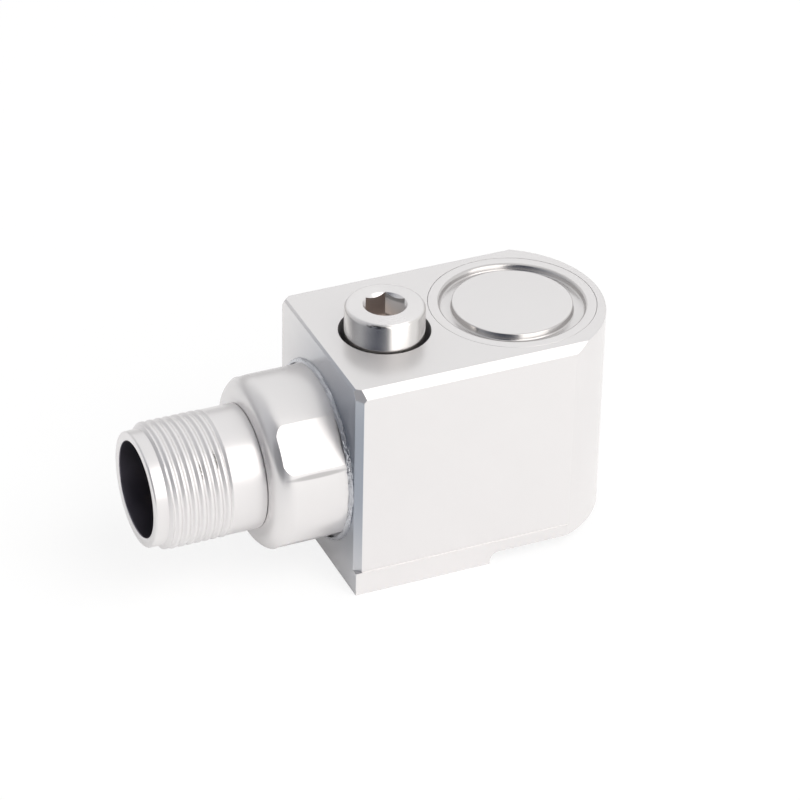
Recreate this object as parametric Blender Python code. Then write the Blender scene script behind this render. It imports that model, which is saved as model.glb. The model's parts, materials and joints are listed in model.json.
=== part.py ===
"""Side-exit vibration sensor: a milled stainless body with a threaded connector.

Units are metres, +Z is up. The origin lies on the axis of the mounting screw, in
the plane of the foot. The connector points along -X and the long flat face that
is seen from the front looks along -Y.
"""

import math

import bmesh
import bpy
from mathutils import Vector

MM = 0.001

# Clearances
SEAT_GAP = 0.3 * MM
SEAM_GAP = 0.1 * MM
RUNNING_GAP = 0.1 * MM
CUT_MARGIN = 2.0 * MM

# Body
BODY_WIDTH = 25.0 * MM
BODY_HEIGHT = 29.24 * MM
CONNECTOR_FACE = 8.77 * MM
ROUND_CENTRE = 14.975 * MM
ROUND_EXTRA = 1.06 * MM
BAND_HEIGHT = 3.21 * MM
BAND_PROUD = 0.15 * MM
TOP_CHAMFER = 0.98 * MM
TOP_DEBURR = 0.3 * MM
CORNER_CHAMFER = 0.85 * MM
CORNER_BREAK = 1.14 * MM
CORNER_BREAK_NORMAL = Vector((-0.56, -0.67, 0.48)).normalized()
FOOT_END = 9.3 * MM
FOOT_RELIEF = 1.6 * MM
FOOT_FILLET = 1.2 * MM

# Mounting screw, drawn lifted so that its tip is level with the foot
SCREW_RADIUS = 3.0 * MM
HOLE_CLEARANCE = 0.3 * MM
HEAD_RADIUS = 4.98 * MM
HEAD_HEIGHT = 6.0 * MM
HEAD_ROUNDING = 0.55 * MM
HEAD_CLEARANCE = 0.72 * MM
SCREW_LIFT = 3.64 * MM
SCREW_DROP = 6.0 * MM
SCREW_TIP_CHAMFER = 0.6 * MM
SCREW_THREAD_LENGTH = 10.5 * MM
HEX_ACROSS_FLATS = 5.0 * MM
HEX_DEPTH = 3.0 * MM
HEX_ANGLE = 6.0
SOCKET_POINT_RADIUS = 2.3 * MM
SOCKET_POINT_DEPTH = 1.0 * MM
RING_SECTION = 0.9 * MM
RING_GROOVE_WIDTH = 1.5 * MM

# Sensing end
SENSOR_AXIS = 17.14 * MM
CAP_RADIUS = 10.5 * MM
CAP_THICKNESS = 3.0 * MM
CAP_DISC_RADIUS = 7.51 * MM
CAP_GROOVE_WIDTH = 1.51 * MM
CAP_GROOVE_DEPTH = 1.0 * MM
CAP_LIP = 0.4 * MM
CAP_DISC_BREAK = 0.15 * MM
CAP_SPIGOT = 1.2 * MM
FLOOR_THICKNESS = 4.0 * MM
CAVITY_RADIUS = 8.4 * MM
BOARD_LEDGE_WIDTH = 0.5 * MM
BOARD_HEADROOM = 1.3 * MM
COMPONENT_SPACE = 3.74 * MM

# Shear element
DISC_THICKNESS = 0.8 * MM
BASE_THICKNESS = 1.6 * MM
POST_RADIUS = 1.9 * MM
POST_END = 0.4 * MM
PIEZO_WALL = 1.1 * MM
MASS_WALL = 1.7 * MM
MASS_INSET = 0.3 * MM
NUT_ACROSS_FLATS = 6.0 * MM
NUT_HEIGHT = 1.6 * MM
SHIELD_WALL = 0.4 * MM
SHIELD_HEADROOM = 0.6 * MM
SHIELD_HOLE_RADIUS = 0.7 * MM
LEAD_ROOM = 1.5 * MM

# Amplifier board and what it carries: centre on the board, then length, width, height
BOARD_THICKNESS = 1.2 * MM
CHIP_PLACE = (-1.8 * MM, -2.4 * MM)
CHIP_SIZE = (5.0 * MM, 4.0 * MM, 1.5 * MM)
CAPACITOR_PLACE = (3.6 * MM, -1.0 * MM)
CAPACITOR_SIZE = (3.5 * MM, 2.8 * MM, 1.9 * MM)
RESISTOR_PLACE = (-3.6 * MM, 2.6 * MM)
RESISTOR_SIZE = (2.0 * MM, 1.25 * MM, 0.6 * MM)
THERMOMETER_PLACE = (1.4 * MM, 3.6 * MM)
THERMOMETER_RADIUS = 2.1 * MM
THERMOMETER_HEIGHT = 1.8 * MM
THERMOMETER_SWEEP = (-30.0, 210.0)
COMPONENT_BEVEL = 0.15 * MM
RETAINER_WALL = 0.9 * MM
RETAINER_THICKNESS = 0.8 * MM
RETAINER_OPENING = 50.0

# Connector: its axis lies a little below the middle of the body, and lengths are measured
# outward from the body's connector face
CONNECTOR_DROP = 0.77 * MM
COLLAR_RADIUS = 11.1 * MM
COLLAR_LENGTH = 9.63 * MM
COLLAR_NOSE_RADIUS = 2.5 * MM
COLLAR_HOLLOW_RADIUS = 8.6 * MM
COLLAR_MOUTH_LENGTH = 4.6 * MM
FLAT_COUNT = 4
FLAT_DISTANCE = 10.65 * MM
FLAT_LENGTH = 8.28 * MM
FLAT_ANGLE = 51.0
BEAD_SIZE = 0.75 * MM
SHELL_LENGTH = 23.83 * MM
SHELL_BORE_RADIUS = 6.03 * MM
PILOT_RADIUS = 7.25 * MM
PILOT_LENGTH = 1.65 * MM
THREAD_RADIUS = 7.94 * MM
THREAD_LENGTH = 8.35 * MM
THREAD_LEAD_IN = 0.5 * MM
NECK_RADIUS = 7.85 * MM
SPIGOT_RADIUS = 7.2 * MM
SPIGOT_LENGTH = 5.4 * MM
RIM_CHAMFER = 0.22 * MM
HEADER_THICKNESS = 3.0 * MM
HEADER_LEDGE = 1.0 * MM
SOCKET_DEPTH = 12.0 * MM
PIN_COUNT = 3
PIN_RADIUS = 0.785 * MM
PIN_CIRCLE = 2.6 * MM
PIN_RECESS = 5.0 * MM
PIN_TAIL = 2.0 * MM
PORT_RADIUS = 8.0 * MM
PORT_DEPTH = 2.0 * MM

# Wiring passages beside the screw hole, and the leads in them
PASSAGE_RADIUS = 1.3 * MM
PASSAGE_WALL = 1.3 * MM
LEAD_RADIUS = 0.4 * MM
LEAD_SPREAD = 0.6 * MM
LEAD_BEND = 1.0 * MM
ELEMENT_LEAD_RADIUS = 0.25 * MM
LEAD_STEPS = 4

FULL_TURN = 360.0
FINE = 64
MEDIUM = 48
COARSE = 24
SMALL = 16
ARC_STEPS = 5
NOSE_STEPS = 8
RING_STEPS = 10
AXIS_MARK = 5.0 * MM

# Places that follow from the sizes above
HALF_WIDTH = BODY_WIDTH / 2
BAND_HALF_WIDTH = HALF_WIDTH + BAND_PROUD
ROUND_RADIUS = HALF_WIDTH + ROUND_EXTRA
SCREW_LENGTH = BODY_HEIGHT + SCREW_LIFT - HEAD_HEIGHT
SCREW_HOLE_RADIUS = SCREW_RADIUS + HOLE_CLEARANCE
COUNTERBORE_RADIUS = HEAD_RADIUS + HEAD_CLEARANCE
COUNTERBORE_FLOOR = SCREW_LENGTH - SCREW_DROP - RUNNING_GAP
RING_OUTER = SCREW_HOLE_RADIUS - RUNNING_GAP
RING_CENTRE = RING_OUTER - RING_SECTION / 2
GROOVE_CORE = RING_OUTER - RING_SECTION - RUNNING_GAP
RING_HEIGHT = SCREW_THREAD_LENGTH + RING_GROOVE_WIDTH / 2

CAVITY_FLOOR = FOOT_RELIEF + FLOOR_THICKNESS
DISC_BASE = CAVITY_FLOOR + SEAT_GAP
BASE_BOTTOM = DISC_BASE + DISC_THICKNESS + SEAT_GAP
BASE_TOP = BASE_BOTTOM + BASE_THICKNESS
PIEZO_BOTTOM = BASE_TOP + SEAT_GAP
PIEZO_INNER = POST_RADIUS + SEAT_GAP
PIEZO_OUTER = PIEZO_INNER + PIEZO_WALL
MASS_INNER = PIEZO_OUTER + SEAT_GAP
MASS_OUTER = MASS_INNER + MASS_WALL
SHIELD_OUTER = CAVITY_RADIUS - LEAD_ROOM
SHIELD_INNER = SHIELD_OUTER - SHIELD_WALL
BASE_RADIUS = SHIELD_INNER - SEAT_GAP
ELEMENT_LEAD_PLACE = (MASS_INNER + MASS_OUTER) / 2
CAP_GROOVE_RADIUS = CAP_DISC_RADIUS + CAP_GROOVE_WIDTH
BOARD_SEAT_RADIUS = CAVITY_RADIUS + BOARD_LEDGE_WIDTH
BOARD_RADIUS = BOARD_SEAT_RADIUS - SEAT_GAP

# From the cap down: the board hangs under it, and the element takes the height that is left
CAP_BOTTOM = BODY_HEIGHT - CAP_THICKNESS
CAP_SEAT = CAP_BOTTOM - SEAT_GAP
COMPONENT_BOTTOM = CAP_BOTTOM - CAP_SPIGOT - COMPONENT_SPACE
BOARD_TOP = COMPONENT_BOTTOM - SEAT_GAP
BOARD_BOTTOM = BOARD_TOP - BOARD_THICKNESS
BOARD_LEDGE = BOARD_BOTTOM - SEAT_GAP
SHIELD_TOP = BOARD_LEDGE - BOARD_HEADROOM
POST_TOP = SHIELD_TOP - SHIELD_WALL - SHIELD_HEADROOM
NUT_BOTTOM = POST_TOP - POST_END - NUT_HEIGHT
PIEZO_TOP = NUT_BOTTOM - SEAT_GAP
MASS_BOTTOM = PIEZO_BOTTOM + MASS_INSET
MASS_TOP = PIEZO_TOP - MASS_INSET

CONNECTOR_HEIGHT = BODY_HEIGHT / 2 - CONNECTOR_DROP
HEADER_FRONT = SHELL_LENGTH - SOCKET_DEPTH
HEADER_BACK = HEADER_FRONT - HEADER_THICKNESS
SHELL_STEP = HEADER_BACK - SEAT_GAP
SHELL_STEP_RADIUS = SHELL_BORE_RADIUS - HEADER_LEDGE
SHELL_SHOULDER = COLLAR_LENGTH + SEAT_GAP
SHELL_BACK = SHELL_SHOULDER - SPIGOT_LENGTH
THREAD_START = SHELL_LENGTH - PILOT_LENGTH
THREAD_END = THREAD_START - THREAD_LENGTH
COLLAR_MOUTH_RADIUS = SPIGOT_RADIUS + SEAT_GAP
PIN_TAIL_END = HEADER_BACK - PIN_TAIL
PIN_TIP = SHELL_LENGTH - PIN_RECESS
PASSAGE_OFFSET = SCREW_HOLE_RADIUS + PASSAGE_WALL + PASSAGE_RADIUS
LEAD_RISE_RADIUS = (SHIELD_OUTER + CAVITY_RADIUS) / 2

# Colour, roughness and metallic value of each finish
FINISHES = {
    "milled_steel": ((0.80, 0.79, 0.78, 1.0), 0.34, 1.0),
    "turned_steel": ((0.78, 0.77, 0.76, 1.0), 0.28, 1.0),
    "polished_steel": ((0.82, 0.81, 0.80, 1.0), 0.16, 1.0),
    "weld_metal": ((0.62, 0.60, 0.58, 1.0), 0.45, 1.0),
    "gold_plate": ((0.90, 0.68, 0.30, 1.0), 0.22, 1.0),
    "sealing_glass": ((0.10, 0.13, 0.12, 1.0), 0.15, 0.0),
    "rubber": ((0.03, 0.03, 0.03, 1.0), 0.60, 0.0),
    "ceramic": ((0.86, 0.84, 0.78, 1.0), 0.45, 0.0),
    "tungsten": ((0.42, 0.42, 0.44, 1.0), 0.40, 1.0),
    "nickel_silver": ((0.66, 0.63, 0.56, 1.0), 0.30, 1.0),
    "board": ((0.05, 0.25, 0.12, 1.0), 0.50, 0.0),
    "black_resin": ((0.04, 0.04, 0.05, 1.0), 0.45, 0.0),
    "tan_resin": ((0.62, 0.42, 0.16, 1.0), 0.50, 0.0),
    "white_sleeve": ((0.85, 0.85, 0.83, 1.0), 0.50, 0.0),
    "blue_sleeve": ((0.10, 0.20, 0.60, 1.0), 0.50, 0.0),
    "black_sleeve": ((0.05, 0.05, 0.05, 1.0), 0.50, 0.0),
}


def clear_scene():
    """Remove every object that is in the scene."""
    for obj in list(bpy.data.objects):
        bpy.data.objects.remove(obj, do_unlink=True)


def finish(name):
    """Return the material of a finish, made once."""
    if name in bpy.data.materials:
        return bpy.data.materials[name]
    colour, roughness, metallic = FINISHES[name]
    material = bpy.data.materials.new(name)
    material.use_nodes = True
    material.diffuse_color = colour
    shader = material.node_tree.nodes["Principled BSDF"]
    shader.inputs["Base Color"].default_value = colour
    shader.inputs["Roughness"].default_value = roughness
    shader.inputs["Metallic"].default_value = metallic
    return material


def add_object(name, bm, finish_name=None, parent=None, smooth_angle=30.0):
    """Link a bmesh to the scene as a named object, round faces shaded smooth."""
    bmesh.ops.recalc_face_normals(bm, faces=bm.faces)
    mesh = bpy.data.meshes.new(name)
    bm.to_mesh(mesh)
    bm.free()
    mesh.shade_smooth()
    mesh.set_sharp_from_angle(angle=math.radians(smooth_angle))
    obj = bpy.data.objects.new(name, mesh)
    bpy.context.collection.objects.link(obj)
    obj.parent = parent
    if finish_name:
        mesh.materials.append(finish(finish_name))
    return obj


def as_cutter(obj):
    """Mark an object as a cutting tool."""
    obj.hide_render = True
    obj.display_type = "WIRE"
    return obj


def cut(target, *cutters):
    """Take each cutter away from the target."""
    for cutter in cutters:
        modifier = target.modifiers.new(cutter.name, "BOOLEAN")
        modifier.operation = "DIFFERENCE"
        modifier.solver = "EXACT"
        modifier.object = as_cutter(cutter)


def arc(centre_a, centre_b, radius, start, end, steps=ARC_STEPS):
    """Return points along an arc; angles in degrees, from the first axis."""
    angles = [math.radians(start + (end - start) * i / steps) for i in range(steps + 1)]
    return [(centre_a + radius * math.cos(t), centre_b + radius * math.sin(t)) for t in angles]


def turned(name, profile, finish_name=None, closed=False, segments=MEDIUM, parent=None):
    """Spin a profile of (radius, height) points about Z.

    An open profile starts and ends on the axis, a closed one stays clear of it.
    """
    bm = bmesh.new()
    verts = [bm.verts.new((radius, 0.0, height)) for radius, height in profile]
    pairs = list(zip(verts, verts[1:]))
    if closed:
        pairs.append((verts[-1], verts[0]))
    edges = [bm.edges.new(pair) for pair in pairs]
    bmesh.ops.spin(
        bm,
        geom=verts + edges,
        axis=(0.0, 0.0, 1.0),
        cent=(0.0, 0.0, 0.0),
        angle=math.tau,
        steps=segments,
    )
    bmesh.ops.remove_doubles(bm, verts=bm.verts, dist=0.001 * MM)
    return add_object(name, bm, finish_name, parent)


def prism(name, outline, low, high, normal="Z", finish_name=None, parent=None):
    """Extrude a flat outline from low to high along the normal axis.

    The outline's points are (x, y) for Z, (x, z) for Y and (y, z) for X.
    """
    place = {
        "Z": lambda a, b: (a, b, low),
        "Y": lambda a, b: (a, low, b),
        "X": lambda a, b: (low, a, b),
    }[normal]
    along = Vector((normal == "X", normal == "Y", normal == "Z")) * (high - low)
    bm = bmesh.new()
    face = bm.faces.new([bm.verts.new(place(a, b)) for a, b in outline])
    side = bmesh.ops.extrude_face_region(bm, geom=[face])["geom"]
    moved = [element for element in side if isinstance(element, bmesh.types.BMVert)]
    bmesh.ops.translate(bm, verts=moved, vec=along)
    return add_object(name, bm, finish_name, parent)


def cylinder(name, radius, low, high, segments=MEDIUM, finish_name=None, parent=None):
    """Make a solid round bar along Z."""
    profile = [(0.0, low), (radius, low), (radius, high), (0.0, high)]
    return turned(name, profile, finish_name, segments=segments, parent=parent)


def polygon(count, across_flats, angle=0.0):
    """Return the corners of a regular polygon from its size across flats."""
    corner = across_flats / 2 / math.cos(math.pi / count)
    turns = [math.radians(angle) + math.tau * i / count for i in range(count)]
    return [(corner * math.cos(t), corner * math.sin(t)) for t in turns]


def rectangle(centre_a, centre_b, length, width):
    """Return the corners of a rectangle."""
    a, b = length / 2, width / 2
    return [
        (centre_a - a, centre_b - b),
        (centre_a + a, centre_b - b),
        (centre_a + a, centre_b + b),
        (centre_a - a, centre_b + b),
    ]


def mark_axis(name, location, rotation=(0.0, 0.0, 0.0)):
    """Add an empty that pieces on one axis are placed by."""
    axis = bpy.data.objects.new(name, None)
    axis.location = location
    axis.rotation_euler = rotation
    axis.empty_display_size = AXIS_MARK
    bpy.context.collection.objects.link(axis)
    return axis


def body_outline(half_width):
    """Return the D-shaped plan of the body: three straight sides and a round end."""
    end_angle = math.degrees(math.asin(half_width / ROUND_RADIUS))
    round_end = arc(ROUND_CENTRE, 0.0, ROUND_RADIUS, -end_angle, end_angle, FINE // 2)
    return [(-CONNECTOR_FACE, half_width), (-CONNECTOR_FACE, -half_width)] + round_end


def side_cutters():
    """Cutters for the two milled flats, their chamfers and the front corners."""
    far = SENSOR_AXIS + 2 * ROUND_RADIUS
    near = -CONNECTOR_FACE - CUT_MARGIN
    high = BODY_HEIGHT + CUT_MARGIN
    outside = BAND_HALF_WIDTH + CUT_MARGIN
    cutters = []
    for side, label in ((-1, "front"), (1, "back")):
        flat = [(side * HALF_WIDTH, BAND_HEIGHT), (side * outside, BAND_HEIGHT)]
        flat += [(side * outside, high), (side * HALF_WIDTH, high)]
        cutters.append(prism(f"cut_flat_{label}", flat, near, far, "X"))

        reach = TOP_CHAMFER + CUT_MARGIN
        inner = side * (HALF_WIDTH - TOP_CHAMFER)
        chamfer = [(inner, BODY_HEIGHT), (inner - side * CUT_MARGIN, high)]
        chamfer += [(side * (HALF_WIDTH + reach), high)]
        chamfer += [(side * (HALF_WIDTH + CUT_MARGIN), BODY_HEIGHT - reach)]
        cutters.append(prism(f"cut_chamfer_{label}", chamfer, near, far, "X"))

        wide = CORNER_CHAMFER + CUT_MARGIN
        corner = [(-CONNECTOR_FACE - CUT_MARGIN, side * (HALF_WIDTH - wide))]
        corner += [(-CONNECTOR_FACE + wide, side * (HALF_WIDTH + CUT_MARGIN))]
        corner += [(-CONNECTOR_FACE - CUT_MARGIN, side * (HALF_WIDTH + CUT_MARGIN))]
        cutters.append(prism(f"cut_corner_{label}", corner, BAND_HEIGHT, high))
        cutters.append(corner_break(label, side))
    return cutters


def corner_break(label, side):
    """Make the cutter for the small slanted facet on one top corner."""
    normal = CORNER_BREAK_NORMAL.copy()
    normal.y *= -side
    corner = Vector((-CONNECTOR_FACE, side * HALF_WIDTH, BODY_HEIGHT))
    size = 8 * CORNER_BREAK
    facet = prism(f"cut_break_{label}", rectangle(0.0, 0.0, size, size), 0.0, size)
    facet.location = corner - normal * CORNER_BREAK
    facet.rotation_euler = normal.to_track_quat("Z", "Y").to_euler()
    return facet


def edge_cutters():
    """Cutters for the broken edge over the connector and the relief under the foot."""
    outside = BAND_HALF_WIDTH + CUT_MARGIN
    reach = TOP_DEBURR + CUT_MARGIN
    deburr = [(-CONNECTOR_FACE - CUT_MARGIN, BODY_HEIGHT - reach)]
    deburr += [(-CONNECTOR_FACE + reach, BODY_HEIGHT + CUT_MARGIN)]
    deburr += [(-CONNECTOR_FACE - CUT_MARGIN, BODY_HEIGHT + CUT_MARGIN)]

    far = SENSOR_AXIS + 2 * ROUND_RADIUS
    relief = [(far, FOOT_RELIEF), (far, -CUT_MARGIN), (FOOT_END, -CUT_MARGIN)]
    centre = (FOOT_END + FOOT_FILLET, FOOT_RELIEF - FOOT_FILLET)
    relief += arc(*centre, FOOT_FILLET, 180.0, 90.0)
    return [
        prism("cut_deburr", deburr, -outside, outside, "Y"),
        prism("cut_foot_relief", relief, -outside, outside, "Y"),
    ]


def bore_cutters():
    """Cutters for the screw hole, the sensing cavity, the port and the passages."""
    high = BODY_HEIGHT + CUT_MARGIN
    hole = [(0.0, -CUT_MARGIN), (SCREW_HOLE_RADIUS, -CUT_MARGIN)]
    hole += [(SCREW_HOLE_RADIUS, COUNTERBORE_FLOOR), (COUNTERBORE_RADIUS, COUNTERBORE_FLOOR)]
    hole += [(COUNTERBORE_RADIUS, high), (0.0, high)]

    cavity = [(0.0, CAVITY_FLOOR), (CAVITY_RADIUS, CAVITY_FLOOR)]
    cavity += [(CAVITY_RADIUS, BOARD_LEDGE), (BOARD_SEAT_RADIUS, BOARD_LEDGE)]
    cavity += [(BOARD_SEAT_RADIUS, CAP_SEAT), (CAP_RADIUS, CAP_SEAT)]
    cavity += [(CAP_RADIUS, high), (0.0, high)]
    cavity_cutter = turned("cut_cavity", cavity, segments=FINE)
    cavity_cutter.location.x = SENSOR_AXIS

    face = mark_axis("port_axis", (-CONNECTOR_FACE, 0.0, CONNECTOR_HEIGHT))
    face.rotation_euler.y = math.radians(-90.0)
    port = cylinder("cut_port", PORT_RADIUS, -PORT_DEPTH, CUT_MARGIN, parent=face)
    cutters = [turned("cut_screw_hole", hole), cavity_cutter, port]
    for side, label in ((-1, "front"), (1, "back")):
        end = -(CONNECTOR_FACE + SENSOR_AXIS)
        passage = cylinder(f"cut_passage_{label}", PASSAGE_RADIUS, end, CUT_MARGIN, COARSE, parent=face)
        passage.location.y = side * PASSAGE_OFFSET
        cutters.append(passage)
    return cutters


def make_housing():
    """Mill the body: D-shaped block, flats, chamfers, foot, bores and passages."""
    outline = body_outline(BAND_HALF_WIDTH)
    block = prism("housing_block", outline, 0.0, BODY_HEIGHT, finish_name="milled_steel")
    cut(block, *side_cutters(), *edge_cutters(), *bore_cutters())


def make_cap():
    """Turn the sensing cap with its annular groove and the spigot under it."""
    radius = CAP_RADIUS - SEAM_GAP
    spigot = BOARD_SEAT_RADIUS - SEAT_GAP
    top, bottom = BODY_HEIGHT, CAP_BOTTOM
    groove = top - CAP_GROOVE_DEPTH
    profile = [(0.0, bottom - CAP_SPIGOT), (spigot, bottom - CAP_SPIGOT), (spigot, bottom)]
    profile += [(radius, bottom), (radius, top), (CAP_GROOVE_RADIUS + CAP_LIP, top)]
    profile += [(CAP_GROOVE_RADIUS, top - CAP_LIP), (CAP_GROOVE_RADIUS, groove)]
    profile += [(CAP_DISC_RADIUS, groove), (CAP_DISC_RADIUS, top - CAP_DISC_BREAK)]
    profile += [(CAP_DISC_RADIUS - CAP_DISC_BREAK, top), (0.0, top)]
    cap = turned("sensing_cap", profile, "milled_steel", segments=FINE)
    cap.location.x = SENSOR_AXIS


def socket_cutters(head_top):
    """Cutters for the hexagon socket, its conical mouth and its drilled point."""
    floor = head_top - HEX_DEPTH
    high = head_top + CUT_MARGIN
    hexagon = prism("cut_hexagon", polygon(6, HEX_ACROSS_FLATS, HEX_ANGLE), floor, high)
    corner = HEX_ACROSS_FLATS / 2 / math.cos(math.pi / 6)
    mouth = [(0.0, head_top - corner), (corner + CUT_MARGIN, high), (0.0, high)]
    shoulder = floor + RUNNING_GAP
    point = [(0.0, floor - SOCKET_POINT_DEPTH), (SOCKET_POINT_RADIUS, shoulder), (0.0, shoulder)]
    return [
        hexagon,
        turned("cut_socket_mouth", mouth, segments=COARSE),
        turned("cut_socket_point", point, segments=COARSE),
    ]


def make_screw():
    """Turn the captive screw, its waist for the ring and its hexagon socket."""
    waist_top = SCREW_THREAD_LENGTH + RING_GROOVE_WIDTH
    head_top = SCREW_LENGTH + HEAD_HEIGHT
    profile = [(0.0, 0.0), (SCREW_RADIUS - SCREW_TIP_CHAMFER, 0.0), (SCREW_RADIUS, SCREW_TIP_CHAMFER)]
    profile += [(SCREW_RADIUS, SCREW_THREAD_LENGTH), (GROOVE_CORE, SCREW_THREAD_LENGTH)]
    profile += [(GROOVE_CORE, waist_top), (SCREW_RADIUS, waist_top)]
    profile += [(SCREW_RADIUS, SCREW_LENGTH), (HEAD_RADIUS, SCREW_LENGTH)]
    profile += arc(HEAD_RADIUS - HEAD_ROUNDING, head_top - HEAD_ROUNDING, HEAD_ROUNDING, 0.0, 90.0)
    profile += [(0.0, head_top)]
    screw = turned("mounting_screw", profile, "polished_steel")

    cut(screw, *socket_cutters(head_top))


def make_screw_ring():
    """Make the rubber ring that rides in the screw's waist and rubs on the hole."""
    section = arc(RING_CENTRE, RING_HEIGHT, RING_SECTION / 2, 0.0, FULL_TURN, RING_STEPS)[:-1]
    turned("screw_o_ring", section, "rubber", closed=True)


def make_collar(axis):
    """Turn the collar behind the connector and mill its spanner flats."""
    nose_centre = (COLLAR_RADIUS - COLLAR_NOSE_RADIUS, COLLAR_LENGTH - COLLAR_NOSE_RADIUS)
    nose = arc(*nose_centre, COLLAR_NOSE_RADIUS, 0.0, 90.0, NOSE_STEPS)
    mouth_back = COLLAR_LENGTH - COLLAR_MOUTH_LENGTH
    profile = [(COLLAR_HOLLOW_RADIUS, SEAM_GAP), (COLLAR_RADIUS, SEAM_GAP)] + nose
    profile += [(COLLAR_MOUTH_RADIUS, COLLAR_LENGTH), (COLLAR_MOUTH_RADIUS, mouth_back)]
    profile += [(COLLAR_HOLLOW_RADIUS, mouth_back)]
    collar = turned("connector_collar", profile, "turned_steel", closed=True, segments=FINE, parent=axis)
    for index in range(FLAT_COUNT):
        length = 2 * CUT_MARGIN
        outline = rectangle(FLAT_DISTANCE + length / 2, 0.0, length, 2 * COLLAR_RADIUS)
        flat = prism(f"cut_flat_{index + 1}", outline, -CUT_MARGIN, FLAT_LENGTH, parent=axis)
        flat.rotation_euler.z = math.radians(FULL_TURN / FLAT_COUNT * index - FLAT_ANGLE)
        cut(collar, flat)


def make_weld_bead(axis):
    """Make the weld that runs round the collar on the body's face."""
    inner = COLLAR_RADIUS + SEAM_GAP
    section = [(inner, SEAM_GAP)] + arc(inner, SEAM_GAP, BEAD_SIZE, 0.0, 90.0)
    turned("collar_weld_bead", section, "weld_metal", closed=True, segments=FINE, parent=axis)


def make_shell(axis):
    """Turn the connector shell: pilot, thread, neck, spigot and socket."""
    profile = [(SHELL_BORE_RADIUS, SHELL_LENGTH - RIM_CHAMFER), (SHELL_BORE_RADIUS, SHELL_STEP)]
    profile += [(SHELL_STEP_RADIUS, SHELL_STEP), (SHELL_STEP_RADIUS, SHELL_BACK)]
    profile += [(SPIGOT_RADIUS, SHELL_BACK), (SPIGOT_RADIUS, SHELL_SHOULDER)]
    profile += [(NECK_RADIUS, SHELL_SHOULDER), (NECK_RADIUS, THREAD_END - THREAD_LEAD_IN)]
    profile += [(THREAD_RADIUS, THREAD_END), (THREAD_RADIUS, THREAD_START - THREAD_LEAD_IN)]
    profile += [(PILOT_RADIUS, THREAD_START), (PILOT_RADIUS, SHELL_LENGTH - RIM_CHAMFER)]
    profile += [(PILOT_RADIUS - RIM_CHAMFER, SHELL_LENGTH), (SHELL_BORE_RADIUS + RIM_CHAMFER, SHELL_LENGTH)]
    turned("connector_shell", profile, "turned_steel", closed=True, segments=FINE, parent=axis)


def pin_places():
    """Return the pins' places across the connector axis, first pin at the top."""
    turns = [math.tau * i / PIN_COUNT for i in range(PIN_COUNT)]
    return [Vector((PIN_CIRCLE * math.cos(t), -PIN_CIRCLE * math.sin(t), 0.0)) for t in turns]


def make_header_and_pins(axis):
    """Make the insulator and the contact pins that pass through it."""
    header = cylinder(
        "connector_header",
        SHELL_BORE_RADIUS - SEAT_GAP,
        HEADER_BACK,
        HEADER_FRONT,
        finish_name="sealing_glass",
        parent=axis,
    )
    for number, place in enumerate(pin_places(), start=1):
        profile = [(0.0, PIN_TAIL_END), (PIN_RADIUS, PIN_TAIL_END)]
        profile += arc(0.0, PIN_TIP - PIN_RADIUS, PIN_RADIUS, 0.0, 90.0)
        pin = turned(f"contact_pin_{number}", profile, "gold_plate", segments=SMALL, parent=axis)
        pin.location = place
        hole_ends = (HEADER_BACK - CUT_MARGIN, HEADER_FRONT + CUT_MARGIN)
        hole = cylinder(f"cut_pin_hole_{number}", PIN_RADIUS + SEAT_GAP, *hole_ends, COARSE, parent=axis)
        hole.location = place
        cut(header, hole)


def make_element(axis):
    """Make the shear element: base and post, ceramic ring, mass, nut and shield."""
    disc = [(0.0, DISC_BASE), (SHIELD_OUTER, DISC_BASE)]
    disc += [(SHIELD_OUTER, DISC_BASE + DISC_THICKNESS), (0.0, DISC_BASE + DISC_THICKNESS)]
    turned("insulating_disc", disc, "ceramic", parent=axis)

    base = [(0.0, BASE_BOTTOM), (BASE_RADIUS, BASE_BOTTOM), (BASE_RADIUS, BASE_TOP)]
    base += [(POST_RADIUS, BASE_TOP), (POST_RADIUS, POST_TOP), (0.0, POST_TOP)]
    turned("element_base", base, "turned_steel", parent=axis)

    ring("piezo_ring", PIEZO_INNER, PIEZO_OUTER, PIEZO_BOTTOM, PIEZO_TOP, "ceramic", axis)
    ring("seismic_mass", MASS_INNER, MASS_OUTER, MASS_BOTTOM, MASS_TOP, "tungsten", axis)

    nut_top = NUT_BOTTOM + NUT_HEIGHT
    hexagon = polygon(6, NUT_ACROSS_FLATS)
    nut = prism("clamp_nut", hexagon, NUT_BOTTOM, nut_top, finish_name="turned_steel", parent=axis)
    hole_ends = (NUT_BOTTOM - CUT_MARGIN, nut_top + CUT_MARGIN)
    cut(nut, cylinder("cut_nut_hole", POST_RADIUS + SEAT_GAP, *hole_ends, COARSE, parent=axis))

    can = [(0.0, SHIELD_TOP - SHIELD_WALL), (SHIELD_INNER, SHIELD_TOP - SHIELD_WALL)]
    can += [(SHIELD_INNER, BASE_BOTTOM), (SHIELD_OUTER, BASE_BOTTOM)]
    can += [(SHIELD_OUTER, SHIELD_TOP), (0.0, SHIELD_TOP)]
    shield = turned("element_shield", can, "nickel_silver", parent=axis)
    hole_ends = (SHIELD_TOP - SHIELD_WALL - CUT_MARGIN / 4, SHIELD_TOP + CUT_MARGIN)
    hole = cylinder("cut_shield_hole", SHIELD_HOLE_RADIUS, *hole_ends, SMALL, parent=axis)
    hole.location.x = ELEMENT_LEAD_PLACE
    cut(shield, hole)


def ring(name, inner, outer, bottom, top, finish_name, parent):
    """Make a plain ring about its parent's axis."""
    section = [(inner, bottom), (outer, bottom), (outer, top), (inner, top)]
    return turned(name, section, finish_name, closed=True, parent=parent)


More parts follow.
